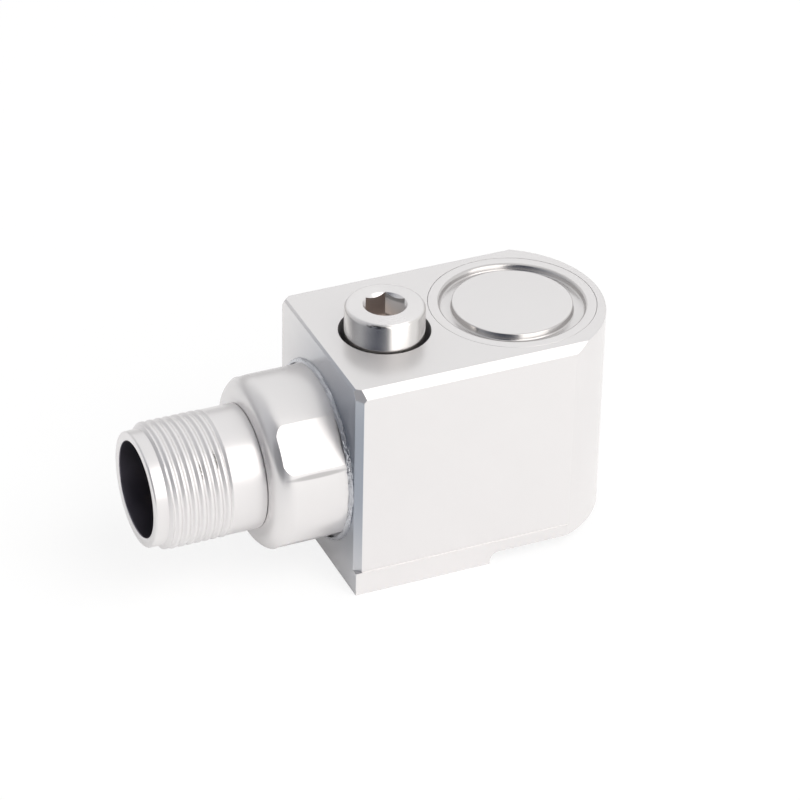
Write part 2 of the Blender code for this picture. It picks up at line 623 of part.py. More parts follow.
def make_board(axis):
    """Make the amplifier board, its components and the ring that retains it."""
    cylinder("amplifier_board", BOARD_RADIUS, BOARD_BOTTOM, BOARD_TOP, finish_name="board", parent=axis)
    blocks = (
        ("amplifier_chip", CHIP_PLACE, CHIP_SIZE, "black_resin"),
        ("coupling_capacitor", CAPACITOR_PLACE, CAPACITOR_SIZE, "tan_resin"),
        ("bias_resistor", RESISTOR_PLACE, RESISTOR_SIZE, "ceramic"),
    )
    for name, place, (length, width, height), finish_name in blocks:
        outline = rectangle(*place, length, width)
        ends = (COMPONENT_BOTTOM, COMPONENT_BOTTOM + height)
        block = prism(name, outline, *ends, finish_name=finish_name, parent=axis)
        bevel = block.modifiers.new("edges", "BEVEL")
        bevel.width = COMPONENT_BEVEL
        bevel.segments = 1

    round_side = arc(*THERMOMETER_PLACE, THERMOMETER_RADIUS, *THERMOMETER_SWEEP, COARSE // 2)
    ends = (COMPONENT_BOTTOM, COMPONENT_BOTTOM + THERMOMETER_HEIGHT)
    prism("temperature_sensor", round_side, *ends, finish_name="black_resin", parent=axis)

    outer, inner = BOARD_RADIUS, BOARD_RADIUS - RETAINER_WALL
    half = RETAINER_OPENING / 2
    outline = arc(0.0, 0.0, outer, half, FULL_TURN - half, MEDIUM)
    outline += arc(0.0, 0.0, inner, FULL_TURN - half, half, MEDIUM)
    ends = (COMPONENT_BOTTOM, COMPONENT_BOTTOM + RETAINER_THICKNESS)
    prism("board_retaining_ring", outline, *ends, finish_name="turned_steel", parent=axis)


def smooth_route(points, steps):
    """Return points along a smooth curve that passes through the given points."""
    ends = [2 * points[0] - points[1]] + list(points) + [2 * points[-1] - points[-2]]
    route = []
    for before, start, end, after in zip(ends, ends[1:], ends[2:], ends[3:]):
        for step in range(steps):
            t = step / steps
            bend = (2 * before - 5 * start + 4 * end - after) * t * t
            twist = (3 * start - before - 3 * end + after) * t * t * t
            route.append((2 * start + (end - before) * t + bend + twist) / 2)
    return route + [points[-1]]


def lead(name, points, radius, finish_name, steps=LEAD_STEPS):
    """Make an insulated lead along a smooth route."""
    curve = bpy.data.curves.new(name, "CURVE")
    curve.dimensions = "3D"
    curve.bevel_depth = radius
    curve.bevel_resolution = 2
    curve.use_fill_caps = True
    route = smooth_route(points, steps)
    spline = curve.splines.new("POLY")
    spline.points.add(len(route) - 1)
    for point, place in zip(spline.points, route):
        point.co = (*place, 1.0)
    curve.materials.append(finish(finish_name))
    obj = bpy.data.objects.new(name, curve)
    bpy.context.collection.objects.link(obj)


def make_leads():
    """Route the leads from the pins, beside the screw hole, up to the board."""
    pins = pin_places()
    lanes = (
        ("signal_lead", pins[0], -PASSAGE_OFFSET + LEAD_SPREAD, "white_sleeve"),
        ("temperature_lead", pins[1], -PASSAGE_OFFSET - LEAD_SPREAD, "blue_sleeve"),
        ("ground_lead", pins[2], PASSAGE_OFFSET, "black_sleeve"),
    )
    tail = -CONNECTOR_FACE - PIN_TAIL_END + SEAT_GAP
    entry = -CONNECTOR_FACE + PORT_DEPTH / 2
    for name, pin, lane, finish_name in lanes:
        pin_y, pin_z = pin.y, CONNECTOR_HEIGHT + pin.x
        rise = SENSOR_AXIS - math.sqrt(LEAD_RISE_RADIUS**2 - lane**2)
        points = [
            Vector((tail, pin_y, pin_z)),
            Vector((tail + PIN_TAIL / 2, pin_y, pin_z)),
            Vector((entry - PORT_DEPTH, lane, CONNECTOR_HEIGHT)),
            Vector((entry, lane, CONNECTOR_HEIGHT)),
            Vector((rise - 2 * LEAD_BEND, lane, CONNECTOR_HEIGHT)),
            Vector((rise - LEAD_BEND, lane, CONNECTOR_HEIGHT)),
            Vector((rise, lane, CONNECTOR_HEIGHT + LEAD_BEND)),
            Vector((rise, lane, CONNECTOR_HEIGHT + 2 * LEAD_BEND)),
            Vector((rise, lane, BOARD_BOTTOM - SEAT_GAP)),
        ]
        lead(name, points, LEAD_RADIUS, finish_name)

    place = SENSOR_AXIS + ELEMENT_LEAD_PLACE
    low, high = MASS_TOP + SEAT_GAP, BOARD_BOTTOM - SEAT_GAP
    points = [Vector((place, 0.0, low)), Vector((place, 0.0, (low + high) / 2)), Vector((place, 0.0, high))]
    lead("element_lead", points, ELEMENT_LEAD_RADIUS, "white_sleeve")


def main():
    """Build the sensor."""
    clear_scene()
    make_housing()
    make_cap()
    make_screw()
    make_screw_ring()

    connector = mark_axis("connector_axis", (-CONNECTOR_FACE, 0.0, CONNECTOR_HEIGHT))
    connector.rotation_euler.y = math.radians(-90.0)
    make_collar(connector)
    make_weld_bead(connector)
    make_shell(connector)
    make_header_and_pins(connector)

    sensor = mark_axis("sensor_axis", (SENSOR_AXIS, 0.0, 0.0))
    make_element(sensor)
    make_board(sensor)
    make_leads()


main()
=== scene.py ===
"""Looks of the side-exit vibration sensor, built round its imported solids.

Units are metres and +Z is up. The origin lies on the axis of the mounting screw, in the
plane of the foot, and the connector points along -X.
"""

import json
import logging
import math
from collections.abc import Callable, Mapping, Sequence
from dataclasses import dataclass
from enum import Enum
from functools import cache, partial
from typing import Any, ClassVar

import bmesh
import bpy
from mathutils import Matrix, Vector, noise


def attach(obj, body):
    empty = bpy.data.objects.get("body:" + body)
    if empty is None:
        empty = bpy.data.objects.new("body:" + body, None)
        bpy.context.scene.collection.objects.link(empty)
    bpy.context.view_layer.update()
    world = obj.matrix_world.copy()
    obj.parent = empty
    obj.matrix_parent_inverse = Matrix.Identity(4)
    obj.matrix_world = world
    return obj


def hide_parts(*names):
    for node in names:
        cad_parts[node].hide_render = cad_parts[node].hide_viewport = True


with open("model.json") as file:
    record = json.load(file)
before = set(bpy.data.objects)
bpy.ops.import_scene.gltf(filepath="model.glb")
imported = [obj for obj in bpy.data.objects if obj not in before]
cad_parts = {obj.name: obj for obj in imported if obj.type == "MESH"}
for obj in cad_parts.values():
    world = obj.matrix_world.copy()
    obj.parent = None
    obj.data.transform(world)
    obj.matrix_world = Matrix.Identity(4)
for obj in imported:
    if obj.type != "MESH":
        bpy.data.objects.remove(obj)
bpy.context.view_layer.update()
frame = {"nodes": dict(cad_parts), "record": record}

MM = 0.001
WELD_DISTANCE = 0.0008 * MM
SHARP_ANGLE = 32.0
LOG = logging.getLogger("vibration_sensor")

Colour = tuple[float, float, float]
Corner = tuple[float, float, float]
Point = tuple[float, float]
Row = Callable[[float], Point]
Limit = Callable[[float, float], float]
Mesh = bmesh.types.BMesh
Piece = bpy.types.Object
Material = bpy.types.Material

EAST = (1.0, 0.0, 0.0)
NORTH = (0.0, 1.0, 0.0)
WEST = (-1.0, 0.0, 0.0)
SOUTH = (0.0, -1.0, 0.0)
UP = (0.0, 0.0, 1.0)
NOWHERE = (0.0, 0.0, 0.0)
WHITE = (1.0, 1.0, 1.0)


@dataclass(frozen=True)
class Wire:
    """One output socket, so that shader maths can be written as an expression."""

    graph: "Graph"
    socket: Any

    def _math(self, operation: str, first: Any, second: Any) -> "Wire":
        """Add a Math node and return its result."""
        return self.graph.node("ShaderNodeMath", {"operation": operation}, {0: first, 1: second})

    def __add__(self, other: Any) -> "Wire":
        """Return this value plus another."""
        return self._math("ADD", self, other)

    def __radd__(self, other: Any) -> "Wire":
        """Return a number plus this value."""
        return self._math("ADD", other, self)

    def __sub__(self, other: Any) -> "Wire":
        """Return this value less another."""
        return self._math("SUBTRACT", self, other)

    def __rsub__(self, other: Any) -> "Wire":
        """Return a number less this value."""
        return self._math("SUBTRACT", other, self)

    def __mul__(self, other: Any) -> "Wire":
        """Return this value times another."""
        return self._math("MULTIPLY", self, other)

    def __rmul__(self, other: Any) -> "Wire":
        """Return a number times this value."""
        return self._math("MULTIPLY", other, self)

    def at_least(self, other: Any) -> "Wire":
        """Return the larger of this value and another."""
        return self._math("MAXIMUM", self, other)

    def angle_to(self, other: Any) -> "Wire":
        """Return the angle whose sine goes with this value and cosine with another."""
        return self._math("ARCTAN2", self, other)

    def ramp(self, low: float, high: float) -> "Wire":
        """Return how far this value is from low to high, eased, as 0 to 1."""
        settings = {"interpolation_type": "SMOOTHSTEP"}
        return self.graph.node("ShaderNodeMapRange", settings, {0: self, 1: low, 2: high})


class Graph:
    """A node tree that is filled from Python expressions."""

    def __init__(self, tree: bpy.types.NodeTree) -> None:
        """Take over a node tree and empty it."""
        self.tree = tree
        tree.nodes.clear()

    def node(
        self,
        kind: str,
        settings: Mapping[str, Any] | None = None,
        sockets: Mapping[int | str, Any] | None = None,
        output: int | str = 0,
    ) -> Wire:
        """Add a node.

        Args:
            kind: The node's type.
            settings: Its properties, which are set first. A ramp's stops come as "stops".
            sockets: Numbers, colours or wires for its input sockets.
            output: Which output socket is wanted.

        Returns:
            The wanted output, which is empty for an end node.
        """
        made = self.tree.nodes.new(kind)
        for name, value in (settings or {}).items():
            if name == "stops":
                self._set_stops(made.color_ramp, value)
            else:
                setattr(made, name, value)
        for name, value in (sockets or {}).items():
            if isinstance(value, Wire):
                self.tree.links.new(value.socket, made.inputs[name])
            else:
                made.inputs[name].default_value = value
        return Wire(self, made.outputs[output] if made.outputs else None)

    def _set_stops(self, ramp: bpy.types.ColorRamp, stops: Sequence[tuple[float, Colour]]) -> None:
        """Give a colour ramp its stops.

        Args:
            ramp: The new node's ramp.
            stops: The place and colour of each stop.
        """
        while len(ramp.elements) < len(stops):
            ramp.elements.new(0.5)
        for element, (place, colour) in zip(ramp.elements, stops):
            element.position = place
            element.color = (*colour, 1.0)

    def mix(self, share: Any, first: Any, second: Any) -> Wire:
        """Mix two colours, by the second one's share from 0 to 1."""
        sockets = {0: share, 6: _rgba(first), 7: _rgba(second)}
        return self.node("ShaderNodeMix", {"data_type": "RGBA"}, sockets, 2)

    def vector(self, operation: str, first: Any, second: Any = NOWHERE, output: int | str = 0) -> Wire:
        """Add a Vector Math node and return the wanted output."""
        return self.node("ShaderNodeVectorMath", {"operation": operation}, {0: first, 1: second}, output)

    def along(self, place: Wire, direction: Corner) -> Wire:
        """Return how far a place lies along a direction."""
        return self.vector("DOT_PRODUCT", place, direction, "Value")

    def noise(self, place: Wire, scale: float, detail: float = 2.0, roughness: float = 0.5) -> Wire:
        """Return noise from 0 to 1 at a place, with the scale in waves per metre."""
        sockets = {"Vector": place, "Scale": scale, "Detail": detail, "Roughness": roughness}
        return self.node("ShaderNodeTexNoise", {"noise_dimensions": "3D"}, sockets)


def _rgba(colour: Any) -> Any:
    """Return a colour with its alpha, or a wire as it is."""
    return colour if isinstance(colour, Wire) else (*colour, 1.0)


def shaded(colour: Colour, factor: float) -> Colour:
    """Return a colour made lighter or darker."""
    return tuple(min(1.0, channel * factor) for channel in colour)


def node_material(name: str, surface: Callable[[Graph], Wire]) -> Material:
    """Make a material.

    Args:
        name: The material's name.
        surface: Takes the material's graph and returns its shader.

    Returns:
        The material.
    """
    made = bpy.data.materials.new(name)
    made.use_nodes = True
    graph = Graph(made.node_tree)
    graph.node("ShaderNodeOutputMaterial", sockets={"Surface": surface(graph)})
    return made


class Lay(Enum):
    """How the tool marks lie on a metal surface."""

    GROUND = "fine marks with no direction"
    TURNED = "rings about the piece's own upright axis"


@dataclass(frozen=True)
class ScuffAndShadeMark:
    """A short dark mark on a turned surface, along its rings, used for scuffs and for painted shade."""

    turn: float
    height: float
    half_turn: float
    half_height: float
    climb: float = 0.0
    strength: float = 1.0
    speckled: bool = True

    FADE: ClassVar[Point] = (0.2, 1.0)

    def mask(self, turn: Wire, height: Wire, specks: Wire) -> Wire:
        """Return how dark the mark is at a place, from 0 to 1.

        Args:
            turn: Angle about the piece's upright axis, in degrees.
            height: Height along that axis.
            specks: 1 on the specks of a speckled mark.

        Returns:
            The mask.
        """
        along = turn - self.turn
        across = (height - self.height - along * (self.climb / 360.0)) * (1.0 / self.half_height)
        along = along * (1.0 / self.half_turn)
        mark = (1.0 - (along * along + across * across).ramp(*self.FADE)) * self.strength
        return mark * specks if self.speckled else mark


@dataclass(frozen=True)
class PaintedShade:
    """Painted shade: a blue-grey darkening about a place on a piece, standing in for the dark that the
    surface mirrors there.
    """

    centre: Corner
    full: float
    reach: float
    colour: Colour

    def mask(self, graph: Graph, place: Wire) -> Wire:
        """Return 1 in the middle of the painted shade and 0 beyond its reach."""
        away = graph.vector("DISTANCE", place, self.centre, "Value")
        return 1.0 - away.ramp(self.full, self.reach)


@dataclass(frozen=True)
class Metal:
    """A bare metal finish with its tool marks, faint clouds, scuffs, marks of painted shade and painted
    shade about a place.

    The haze is the share of light that fine blasting scatters widely. The stretch draws a
    turned surface's reflections out across its rings. The softness is the share of light
    that goes out evenly, whatever the surface mirrors. The lean tips the normals of an
    upright wall towards its top, and fades in between two heights where these are given.
    """

    name: str
    colour: Colour
    roughness: float
    lay: Lay = Lay.GROUND
    haze: float = 0.0
    stretch: float = 0.0
    spacing: float = 0.12 * MM
    depth: float = 0.0002 * MM
    clouding: float = 0.05
    shade: float = 0.96
    softness: float = 0.0
    lean: float = 0.0
    lean_fade: Point | None = None
    scuffs_and_shades: tuple[ScuffAndShadeMark, ...] = ()
    painted_shade: PaintedShade | None = None

    HAZE_ROUGHNESS: ClassVar[float] = 0.62
    ACROSS_RINGS: ClassVar[float] = 0.25
    CLOUD_SCALE: ClassVar[float] = 160.0
    CLOUD_SHARE: ClassVar[float] = 0.6
    DETAIL: ClassVar[float] = 3.0
    MARK_ROUGHNESS: ClassVar[float] = 0.6
    SPECK_SCALE: ClassVar[float] = 3500.0
    SPECK_EDGE: ClassVar[Point] = (0.36, 0.52)
    SCUFF_AND_SHADE_DARKNESS: ClassVar[float] = 0.2

    def material(self) -> Material:
        """Make the material."""
        return node_material(self.name, self._surface)

    def _surface(self, graph: Graph) -> Wire:
        """Return the shader of the whole finish.

        Args:
            graph: The material's graph.

        Returns:
            The shader.
        """
        place = graph.node("ShaderNodeTexCoord", output="Object")
        marks = self._marks(graph, place)
        cloud = graph.noise(place, self.CLOUD_SCALE, self.DETAIL)
        rough = self.roughness + (cloud - 0.5) * (2 * self.clouding) + (marks - 0.5) * self.clouding
        share = cloud * self.CLOUD_SHARE + marks * (1.0 - self.CLOUD_SHARE)
        colour = graph.mix(share, shaded(self.colour, self.shade), self.colour)
        # Scuffs and marks of painted shade darken the colour.
        if self.scuffs_and_shades:
            dark = shaded(self.colour, self.SCUFF_AND_SHADE_DARKNESS)
            colour = graph.mix(self._scuff_and_shade_mask(graph, place), colour, dark)
        # Painted shade about a place darkens the colour towards its blue-grey.
        if self.painted_shade:
            colour = graph.mix(self.painted_shade.mask(graph, place), colour, self.painted_shade.colour)
        relief: dict[int | str, Any] = {"Strength": 1.0, "Distance": self.depth, "Height": marks}
        if self.lean:
            relief["Normal"] = self._leaning(graph, place)
        bump = graph.node("ShaderNodeBump", sockets=relief)
        shader = self._lobe(graph, colour, rough, bump)
        if not self.haze:
            return shader
        broad = self._lobe(graph, colour, self.HAZE_ROUGHNESS, bump)
        return graph.node("ShaderNodeMixShader", sockets={0: self.haze, 1: shader, 2: broad})

    def _leaning(self, graph: Graph, place: Wire) -> Wire:
        """Return the normal, tipped towards the piece's top.

        Args:
            graph: The material's graph.
            place: The place on the piece.

        Returns:
            The tipped normal.
        """
        rise: Any = self.lean
        if self.lean_fade:
            rise = graph.along(place, UP).ramp(*self.lean_fade) * self.lean
        tip = graph.node("ShaderNodeCombineXYZ", sockets={"Z": rise})
        normal = graph.node("ShaderNodeNewGeometry", output="Normal")
        return graph.vector("NORMALIZE", graph.vector("ADD", normal, tip))

    def _lobe(self, graph: Graph, colour: Wire, rough: Any, bump: Wire) -> Wire:
        """Add a metal shader.

        Args:
            graph: The material's graph.
            colour: The metal's colour.
            rough: Its roughness.
            bump: Its normal.

        Returns:
            The shader.
        """
        sockets = {
            "Base Color": colour,
            "Metallic": 1.0 - self.softness,
            "Roughness": rough,
            "Anisotropic": self.stretch,
            "Anisotropic Rotation": self.ACROSS_RINGS,
            "Normal": bump,
        }
        return graph.node("ShaderNodeBsdfPrincipled", {"distribution": "MULTI_GGX"}, sockets)

    def _marks(self, graph: Graph, place: Wire) -> Wire:
        """Return the tool marks, from 0 to 1.

        Args:
            graph: The material's graph.
            place: The place on the piece.

        Returns:
            The height of the marks.
        """
        if self.lay is Lay.TURNED:
            across = graph.vector("MULTIPLY", place, (1.0, 1.0, 0.0))
            radius = graph.vector("LENGTH", across, output="Value")
            height = graph.along(place, UP)
            place = graph.node("ShaderNodeCombineXYZ", sockets={"X": radius, "Y": height})
        return graph.noise(place, 1.0 / self.spacing, self.DETAIL, self.MARK_ROUGHNESS)

    def _scuff_and_shade_mask(self, graph: Graph, place: Wire) -> Wire:
        """Return 1 on the scuffs and the marks of painted shade, and 0 elsewhere.

        Args:
            graph: The material's graph.
            place: The place on the piece.

        Returns:
            The mask.
        """
        turn = graph.along(place, NORTH).angle_to(graph.along(place, EAST)) * (180.0 / math.pi)
        height = graph.along(place, UP)
        specks = graph.noise(place, self.SPECK_SCALE).ramp(*self.SPECK_EDGE)
        mask = self.scuffs_and_shades[0].mask(turn, height, specks)
        for scuff in self.scuffs_and_shades[1:]:
            mask = mask.at_least(scuff.mask(turn, height, specks))
        return mask


@dataclass(frozen=True)
class Moulded:
    """A finish that isn't metal: rubber, resin, ceramic, glass or a wire's sleeve."""

    name: str
    colour: Colour
    roughness: float
    grain: float = 0.15 * MM
    depth: float = 0.001 * MM
    mottle: float = 0.9
    coat: float = 0.0

    CLOUD_SCALE: ClassVar[float] = 300.0
    WANDER: ClassVar[float] = 0.1

    def material(self) -> Material:
        """Make the material."""
        return node_material(self.name, self._surface)

    def _surface(self, graph: Graph) -> Wire:
        """Return the shader of the whole finish.

        Args:
            graph: The material's graph.

        Returns:
            The shader.
        """
        place = graph.node("ShaderNodeTexCoord", output="Object")
        grain = graph.noise(place, 1.0 / self.grain)
        cloud = graph.noise(place, self.CLOUD_SCALE)
        relief = {"Strength": 1.0, "Distance": self.depth, "Height": grain}
        sockets = {
            "Base Color": graph.mix(cloud, shaded(self.colour, self.mottle), self.colour),
            "Roughness": self.roughness + (grain - 0.5) * self.WANDER,
            "Coat Weight": self.coat,
            "Normal": graph.node("ShaderNodeBump", sockets=relief),
        }
        return graph.node("ShaderNodeBsdfPrincipled", sockets=sockets)


Finish = Metal | Moulded

CONNECTOR_HEIGHT = 13.85 * MM
SENSOR_AXIS = 17.14 * MM
STEEL = (0.82, 0.805, 0.805)
MIRROR_LEAN = 0.42

# The two cuts in the thread's grooves, by turn in degrees and height in the connector's axes
THREAD_CUTS = (
    ScuffAndShadeMark(-51.0, 17.58 * MM, 10.5, 0.15 * MM, 1.058 * MM),
    ScuffAndShadeMark(-43.5, 15.43 * MM, 11.5, 0.16 * MM, 1.058 * MM),
)

# Painted shade on the connector face: blue-grey round the collar, standing in for the dark that the face
# mirrors
CONNECTOR_FACE_PAINTED_SHADE = PaintedShade((-8.77 * MM, -13.0 * MM, 19.0 * MM), 3.0 * MM, 27.0 * MM, (0.37, 0.40, 0.45))

# Painted shade: the soft dark edge beside the flat that faces the camera, standing in for the dark that
# its edges mirror, in the same axes
FLAT_EDGE_PAINTED_SHADE = (
    ScuffAndShadeMark(-70.5, 4.2 * MM, 2.0, 4.6 * MM, strength=0.42, speckled=False),
    ScuffAndShadeMark(-57.0, 8.62 * MM, 17.0, 0.5 * MM, strength=0.27, speckled=False),
)

MILLED = Metal("milled_steel_look", STEEL, 0.22, haze=0.5, spacing=0.09 * MM)
# The connector face's steel, with the painted shade round the collar
FACE_STEEL = Metal("face_steel_painted_shade_look", STEEL, 0.22, haze=0.45, spacing=0.09 * MM, painted_shade=CONNECTOR_FACE_PAINTED_SHADE)
# Painted shade: the cap groove's walls get a darker copy of the steel
GROOVE_PAINTED_SHADE = Metal(
    "groove_painted_shade_look",
    (0.59, 0.575, 0.57),
    0.24,
    Lay.TURNED,
    stretch=0.5,
    spacing=0.1 * MM,
    lean=MIRROR_LEAN,
)
# The collar's steel, with painted shade beside the flat that faces the camera
COLLAR_STEEL = Metal(
    "collar_steel_look",
    STEEL,
    0.25,
    Lay.TURNED,
    0.5,
    spacing=1.2 * MM,
    clouding=0.03,
    scuffs_and_shades=FLAT_EDGE_PAINTED_SHADE,
)
NECK_STEEL = Metal("neck_steel_look", STEEL, 0.3, Lay.TURNED, 0.4, spacing=0.08 * MM)
THREAD_STEEL = Metal(
    "thread_steel_look",
    STEEL,
    0.32,
    Lay.TURNED,
    0.5,
    spacing=0.08 * MM,
    softness=0.1,
    scuffs_and_shades=THREAD_CUTS,
)
# Painted shade: the bore gets a near-black copy of the steel
BORE_PAINTED_SHADE = Metal("bore_painted_shade_look", (0.16, 0.15, 0.18), 0.3, Lay.TURNED, 0.3)
SCREW_STEEL = Metal("screw_steel_look", STEEL, 0.26, Lay.TURNED, 0.15, 0.6, 0.25 * MM)
# Painted shade: the head's side gets a darker copy of the screw's steel; a speckled dark mark sits near
# its top edge
HEAD_PAINTED_SHADE = Metal(
    "head_painted_shade_look",
    (0.72, 0.70, 0.685),
    0.24,
    Lay.TURNED,
    stretch=0.45,
    spacing=0.25 * MM,
    lean=MIRROR_LEAN,
    lean_fade=(28.75 * MM, 29.4 * MM),
    scuffs_and_shades=(ScuffAndShadeMark(-126.0, 32.5 * MM, 17.0, 0.24 * MM),),
)
# Painted shade: the socket's walls get a darker copy of the steel
SOCKET_PAINTED_SHADE = Metal("socket_painted_shade_look", (0.54, 0.48, 0.45), 0.3, haze=0.3)
# Painted light: the socket wall that faces the light gets a lighter copy, with painted shade along its
# top
SOCKET_PAINTED_LIGHT = Metal(
    "socket_painted_light_look",
    (0.70, 0.665, 0.635),
    0.3,
    haze=0.3,
    softness=0.2,
    lean=0.6,
    scuffs_and_shades=(ScuffAndShadeMark(36.0, 32.5 * MM, 60.0, 0.6 * MM, strength=0.65, speckled=False),),
)
BEAD_METAL = Metal(
    "weld_look",
    (0.53, 0.54, 0.57),
    0.3,
    spacing=0.3 * MM,
    depth=0.01 * MM,
    clouding=0.12,
)
PIN_GOLD = Metal("pin_gold_look", (0.90, 0.68, 0.30), 0.2, Lay.TURNED)
HEADER_GLASS = Moulded("header_glass_look", (0.03, 0.04, 0.045), 0.15, depth=0.0005 * MM, coat=0.5)
SEAL_RUBBER = Moulded("seal_rubber_look", (0.03, 0.03, 0.03), 0.6, depth=0.004 * MM)

# Finishes of the solids that stay as they are, by the record's material slot
KEPT_SOLIDS: dict[str, Finish] = {
    "turned_steel": Metal("inner_turned_look", STEEL, 0.28),
    "ceramic": Moulded("ceramic_look", (0.86, 0.84, 0.78), 0.45, 0.08 * MM),
    "tungsten": Metal("heavy_metal_look", (0.42, 0.42, 0.44), 0.4),
    "nickel_silver": Metal("shield_look", (0.66, 0.63, 0.56), 0.3),
    "board": Moulded("board_look", (0.05, 0.25, 0.12), 0.5, 0.3 * MM),
    "black_resin": Moulded("black_resin_look", (0.04, 0.04, 0.05), 0.45, 0.05 * MM),
    "tan_resin": Moulded("tan_resin_look", (0.62, 0.42, 0.16), 0.5, 0.05 * MM),
    "white_sleeve": Moulded("white_sleeve_look", (0.85, 0.85, 0.83), 0.5),
    "blue_sleeve": Moulded("blue_sleeve_look", (0.10, 0.20, 0.60), 0.5),
    "black_sleeve": Moulded("black_sleeve_look", (0.05, 0.05, 0.05), 0.5),
}


def rounded(corners: Sequence[Corner], closed: bool, steps: int) -> list[Point]:
    """Round the corners of a section.

    Args:
        corners: Radius, height and rounding of each corner, in order round the section.
        closed: Whether the last corner joins the first.
        steps: Faces in each rounding.

    Returns:
        The section's points.
    """
    section: list[Point] = []
    last = len(corners) - 1
    for index, (radius, height, rounding) in enumerate(corners):
        here = Vector((radius, height))
        if not rounding or (not closed and index in (0, last)):
            section.append((radius, height))
            continue
        before = (Vector(corners[index - 1][:2]) - here).normalized()
        after = (Vector(corners[(index + 1) % len(corners)][:2]) - here).normalized()
        half = before.angle(after) / 2
        centre = here + (before + after).normalized() * (rounding / math.sin(half))
        reach = rounding / math.tan(half)
        start, end = here + before * reach - centre, here + after * reach - centre
        turn = math.pi - 2 * half
        for step in range(steps + 1):
            share = step / steps
            spoke = start * math.sin((1 - share) * turn) + end * math.sin(share * turn)
            section.append(tuple(centre + spoke / math.sin(turn)))
    return section


def fixed_rows(section: Sequence[Point]) -> list[Row]:
    """Return rows for a sweep whose points stay the same all the way round."""
    return [lambda turn, point=point: point for point in section]


def sweep(rows: Sequence[Row], segments: int, closed: bool = True) -> Mesh:
    """Sweep rows about the local Z axis.

    Args:
        rows: For each point of the section, its radius and height at a turn from 0 to 1.
        segments: Faces round the axis.
        closed: Whether the last row joins the first. An open section ends on the axis.

    Returns:
        The welded mesh.
    """
    bm = bmesh.new()
    columns = []
    for step in range(segments + 1):
        turn = step / segments
        cos, sin = math.cos(math.tau * turn), math.sin(math.tau * turn)
        places = [row(turn) for row in rows]
        columns.append([bm.verts.new((radius * cos, radius * sin, height)) for radius, height in places])
    pairs = list(zip(range(len(rows) - 1), range(1, len(rows))))
    if closed:
        pairs.append((len(rows) - 1, 0))
    for here, there in zip(columns, columns[1:]):
        for low, high in pairs:
            bm.faces.new((here[low], there[low], there[high], here[high]))
    bmesh.ops.remove_doubles(bm, verts=bm.verts, dist=WELD_DISTANCE)
    bmesh.ops.dissolve_degenerate(bm, edges=bm.edges, dist=WELD_DISTANCE / 2)
    bmesh.ops.recalc_face_normals(bm, faces=bm.faces)
    return bm


def turned(corners: Sequence[Corner], segments: int, steps: int = 4, closed: bool = False) -> Mesh:
    """Turn a section with rounded corners about the local Z axis."""
    return sweep(fixed_rows(rounded(corners, closed, steps)), segments, closed)


def prism(outline: Sequence[Point], low: float, high: float) -> Mesh:
    """Extrude a flat outline along Z.

    Args:
        outline: Its corners.
        low: Where it starts.
        high: Where it ends.

    Returns:
        The closed mesh.
    """
    bm = bmesh.new()
    face = bm.faces.new([bm.verts.new((x, y, low)) for x, y in outline])
    grown = bmesh.ops.extrude_face_region(bm, geom=[face])["geom"]
    moved = [item for item in grown if isinstance(item, bmesh.types.BMVert)]
    bmesh.ops.translate(bm, verts=moved, vec=(0.0, 0.0, high - low))
    bmesh.ops.recalc_face_normals(bm, faces=bm.faces)
    return bm


def carved(body: Mesh, cutters: Sequence[Mesh]) -> Mesh:
    """Take each cutter away from a body.

    Args:
        body: The mesh that is cut.
        cutters: Closed meshes in the same place.

    Returns:
        The cut mesh.
    """
    blank = _plain_object("blank", body)
    tools = [_plain_object(f"tool_{index}", cutter) for index, cutter in enumerate(cutters)]
    for tool in tools:
        modifier = blank.modifiers.new(tool.name, "BOOLEAN")
        modifier.operation = "DIFFERENCE"
        modifier.solver = "EXACT"
        modifier.object = tool
    cut = bmesh.new()
    cut.from_object(blank, bpy.context.evaluated_depsgraph_get())
    for used in (blank, *tools):
        bpy.data.objects.remove(used)
    bmesh.ops.remove_doubles(cut, verts=cut.verts, dist=WELD_DISTANCE)
    return cut


def _plain_object(name: str, bm: Mesh) -> Piece:
    """Make an object with no finish.

    Args:
        name: Its name.
        bm: Its mesh, which is used up.

    Returns:
        The object, in the scene.
    """
    mesh = bpy.data.meshes.new(name)
    bm.to_mesh(mesh)
    bm.free()
    made = bpy.data.objects.new(name, mesh)
    bpy.context.scene.collection.objects.link(made)
    return made


@cache
def look(finish: Finish) -> Material:
    """Return a finish's material, made once."""
    return finish.material()


@dataclass
class SubAssembly:
    """What the sub-assemblies share: making a piece and hanging it on its body."""

    body: str = "housing"

    def add(
        self,
        name: str,
        bm: Mesh,
        finish: Finish,
        slot: str,
        *nodes: str,
        place: Matrix | None = None,
        sharp: float = SHARP_ANGLE,
    ) -> Piece:
        """Make a dressed piece from a mesh and hang it on the sub-assembly's body.

        Args:
            name: The piece's name.
            bm: Its mesh, which is used up.
            finish: What it is dressed in.
            slot: The record's material slot; not used.
            *nodes: The solids that it stands for.
            place: Where the mesh's own axes lie in the shared frame.
            sharp: Edges with a larger angle than this stay sharp, in degrees.

        Returns:
            The piece.
        """
        made = _plain_object(name, bm)
        if place:
            made.matrix_world = place
        made.data.shade_smooth()
        made.data.set_sharp_from_angle(angle=math.radians(sharp))
        made.data.materials.append(look(finish))
        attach(made, self.body)
        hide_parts(*nodes)
        LOG.info("%s: %d faces, rides on %s", name, len(made.data.polygons), self.body)
        return made


def repaint(piece: Piece, finish: Finish, test: Callable[[Vector, Vector], bool]) -> None:
    """Give some faces of a piece another finish.

    Args:
        piece: The dressed piece.
        finish: Their finish.
        test: Takes a face's centre and normal in the piece's own axes.
    """
    piece.data.materials.append(look(finish))
    index = len(piece.data.materials) - 1
    for face in piece.data.polygons:
        if test(face.center, face.normal):
            face.material_index = index


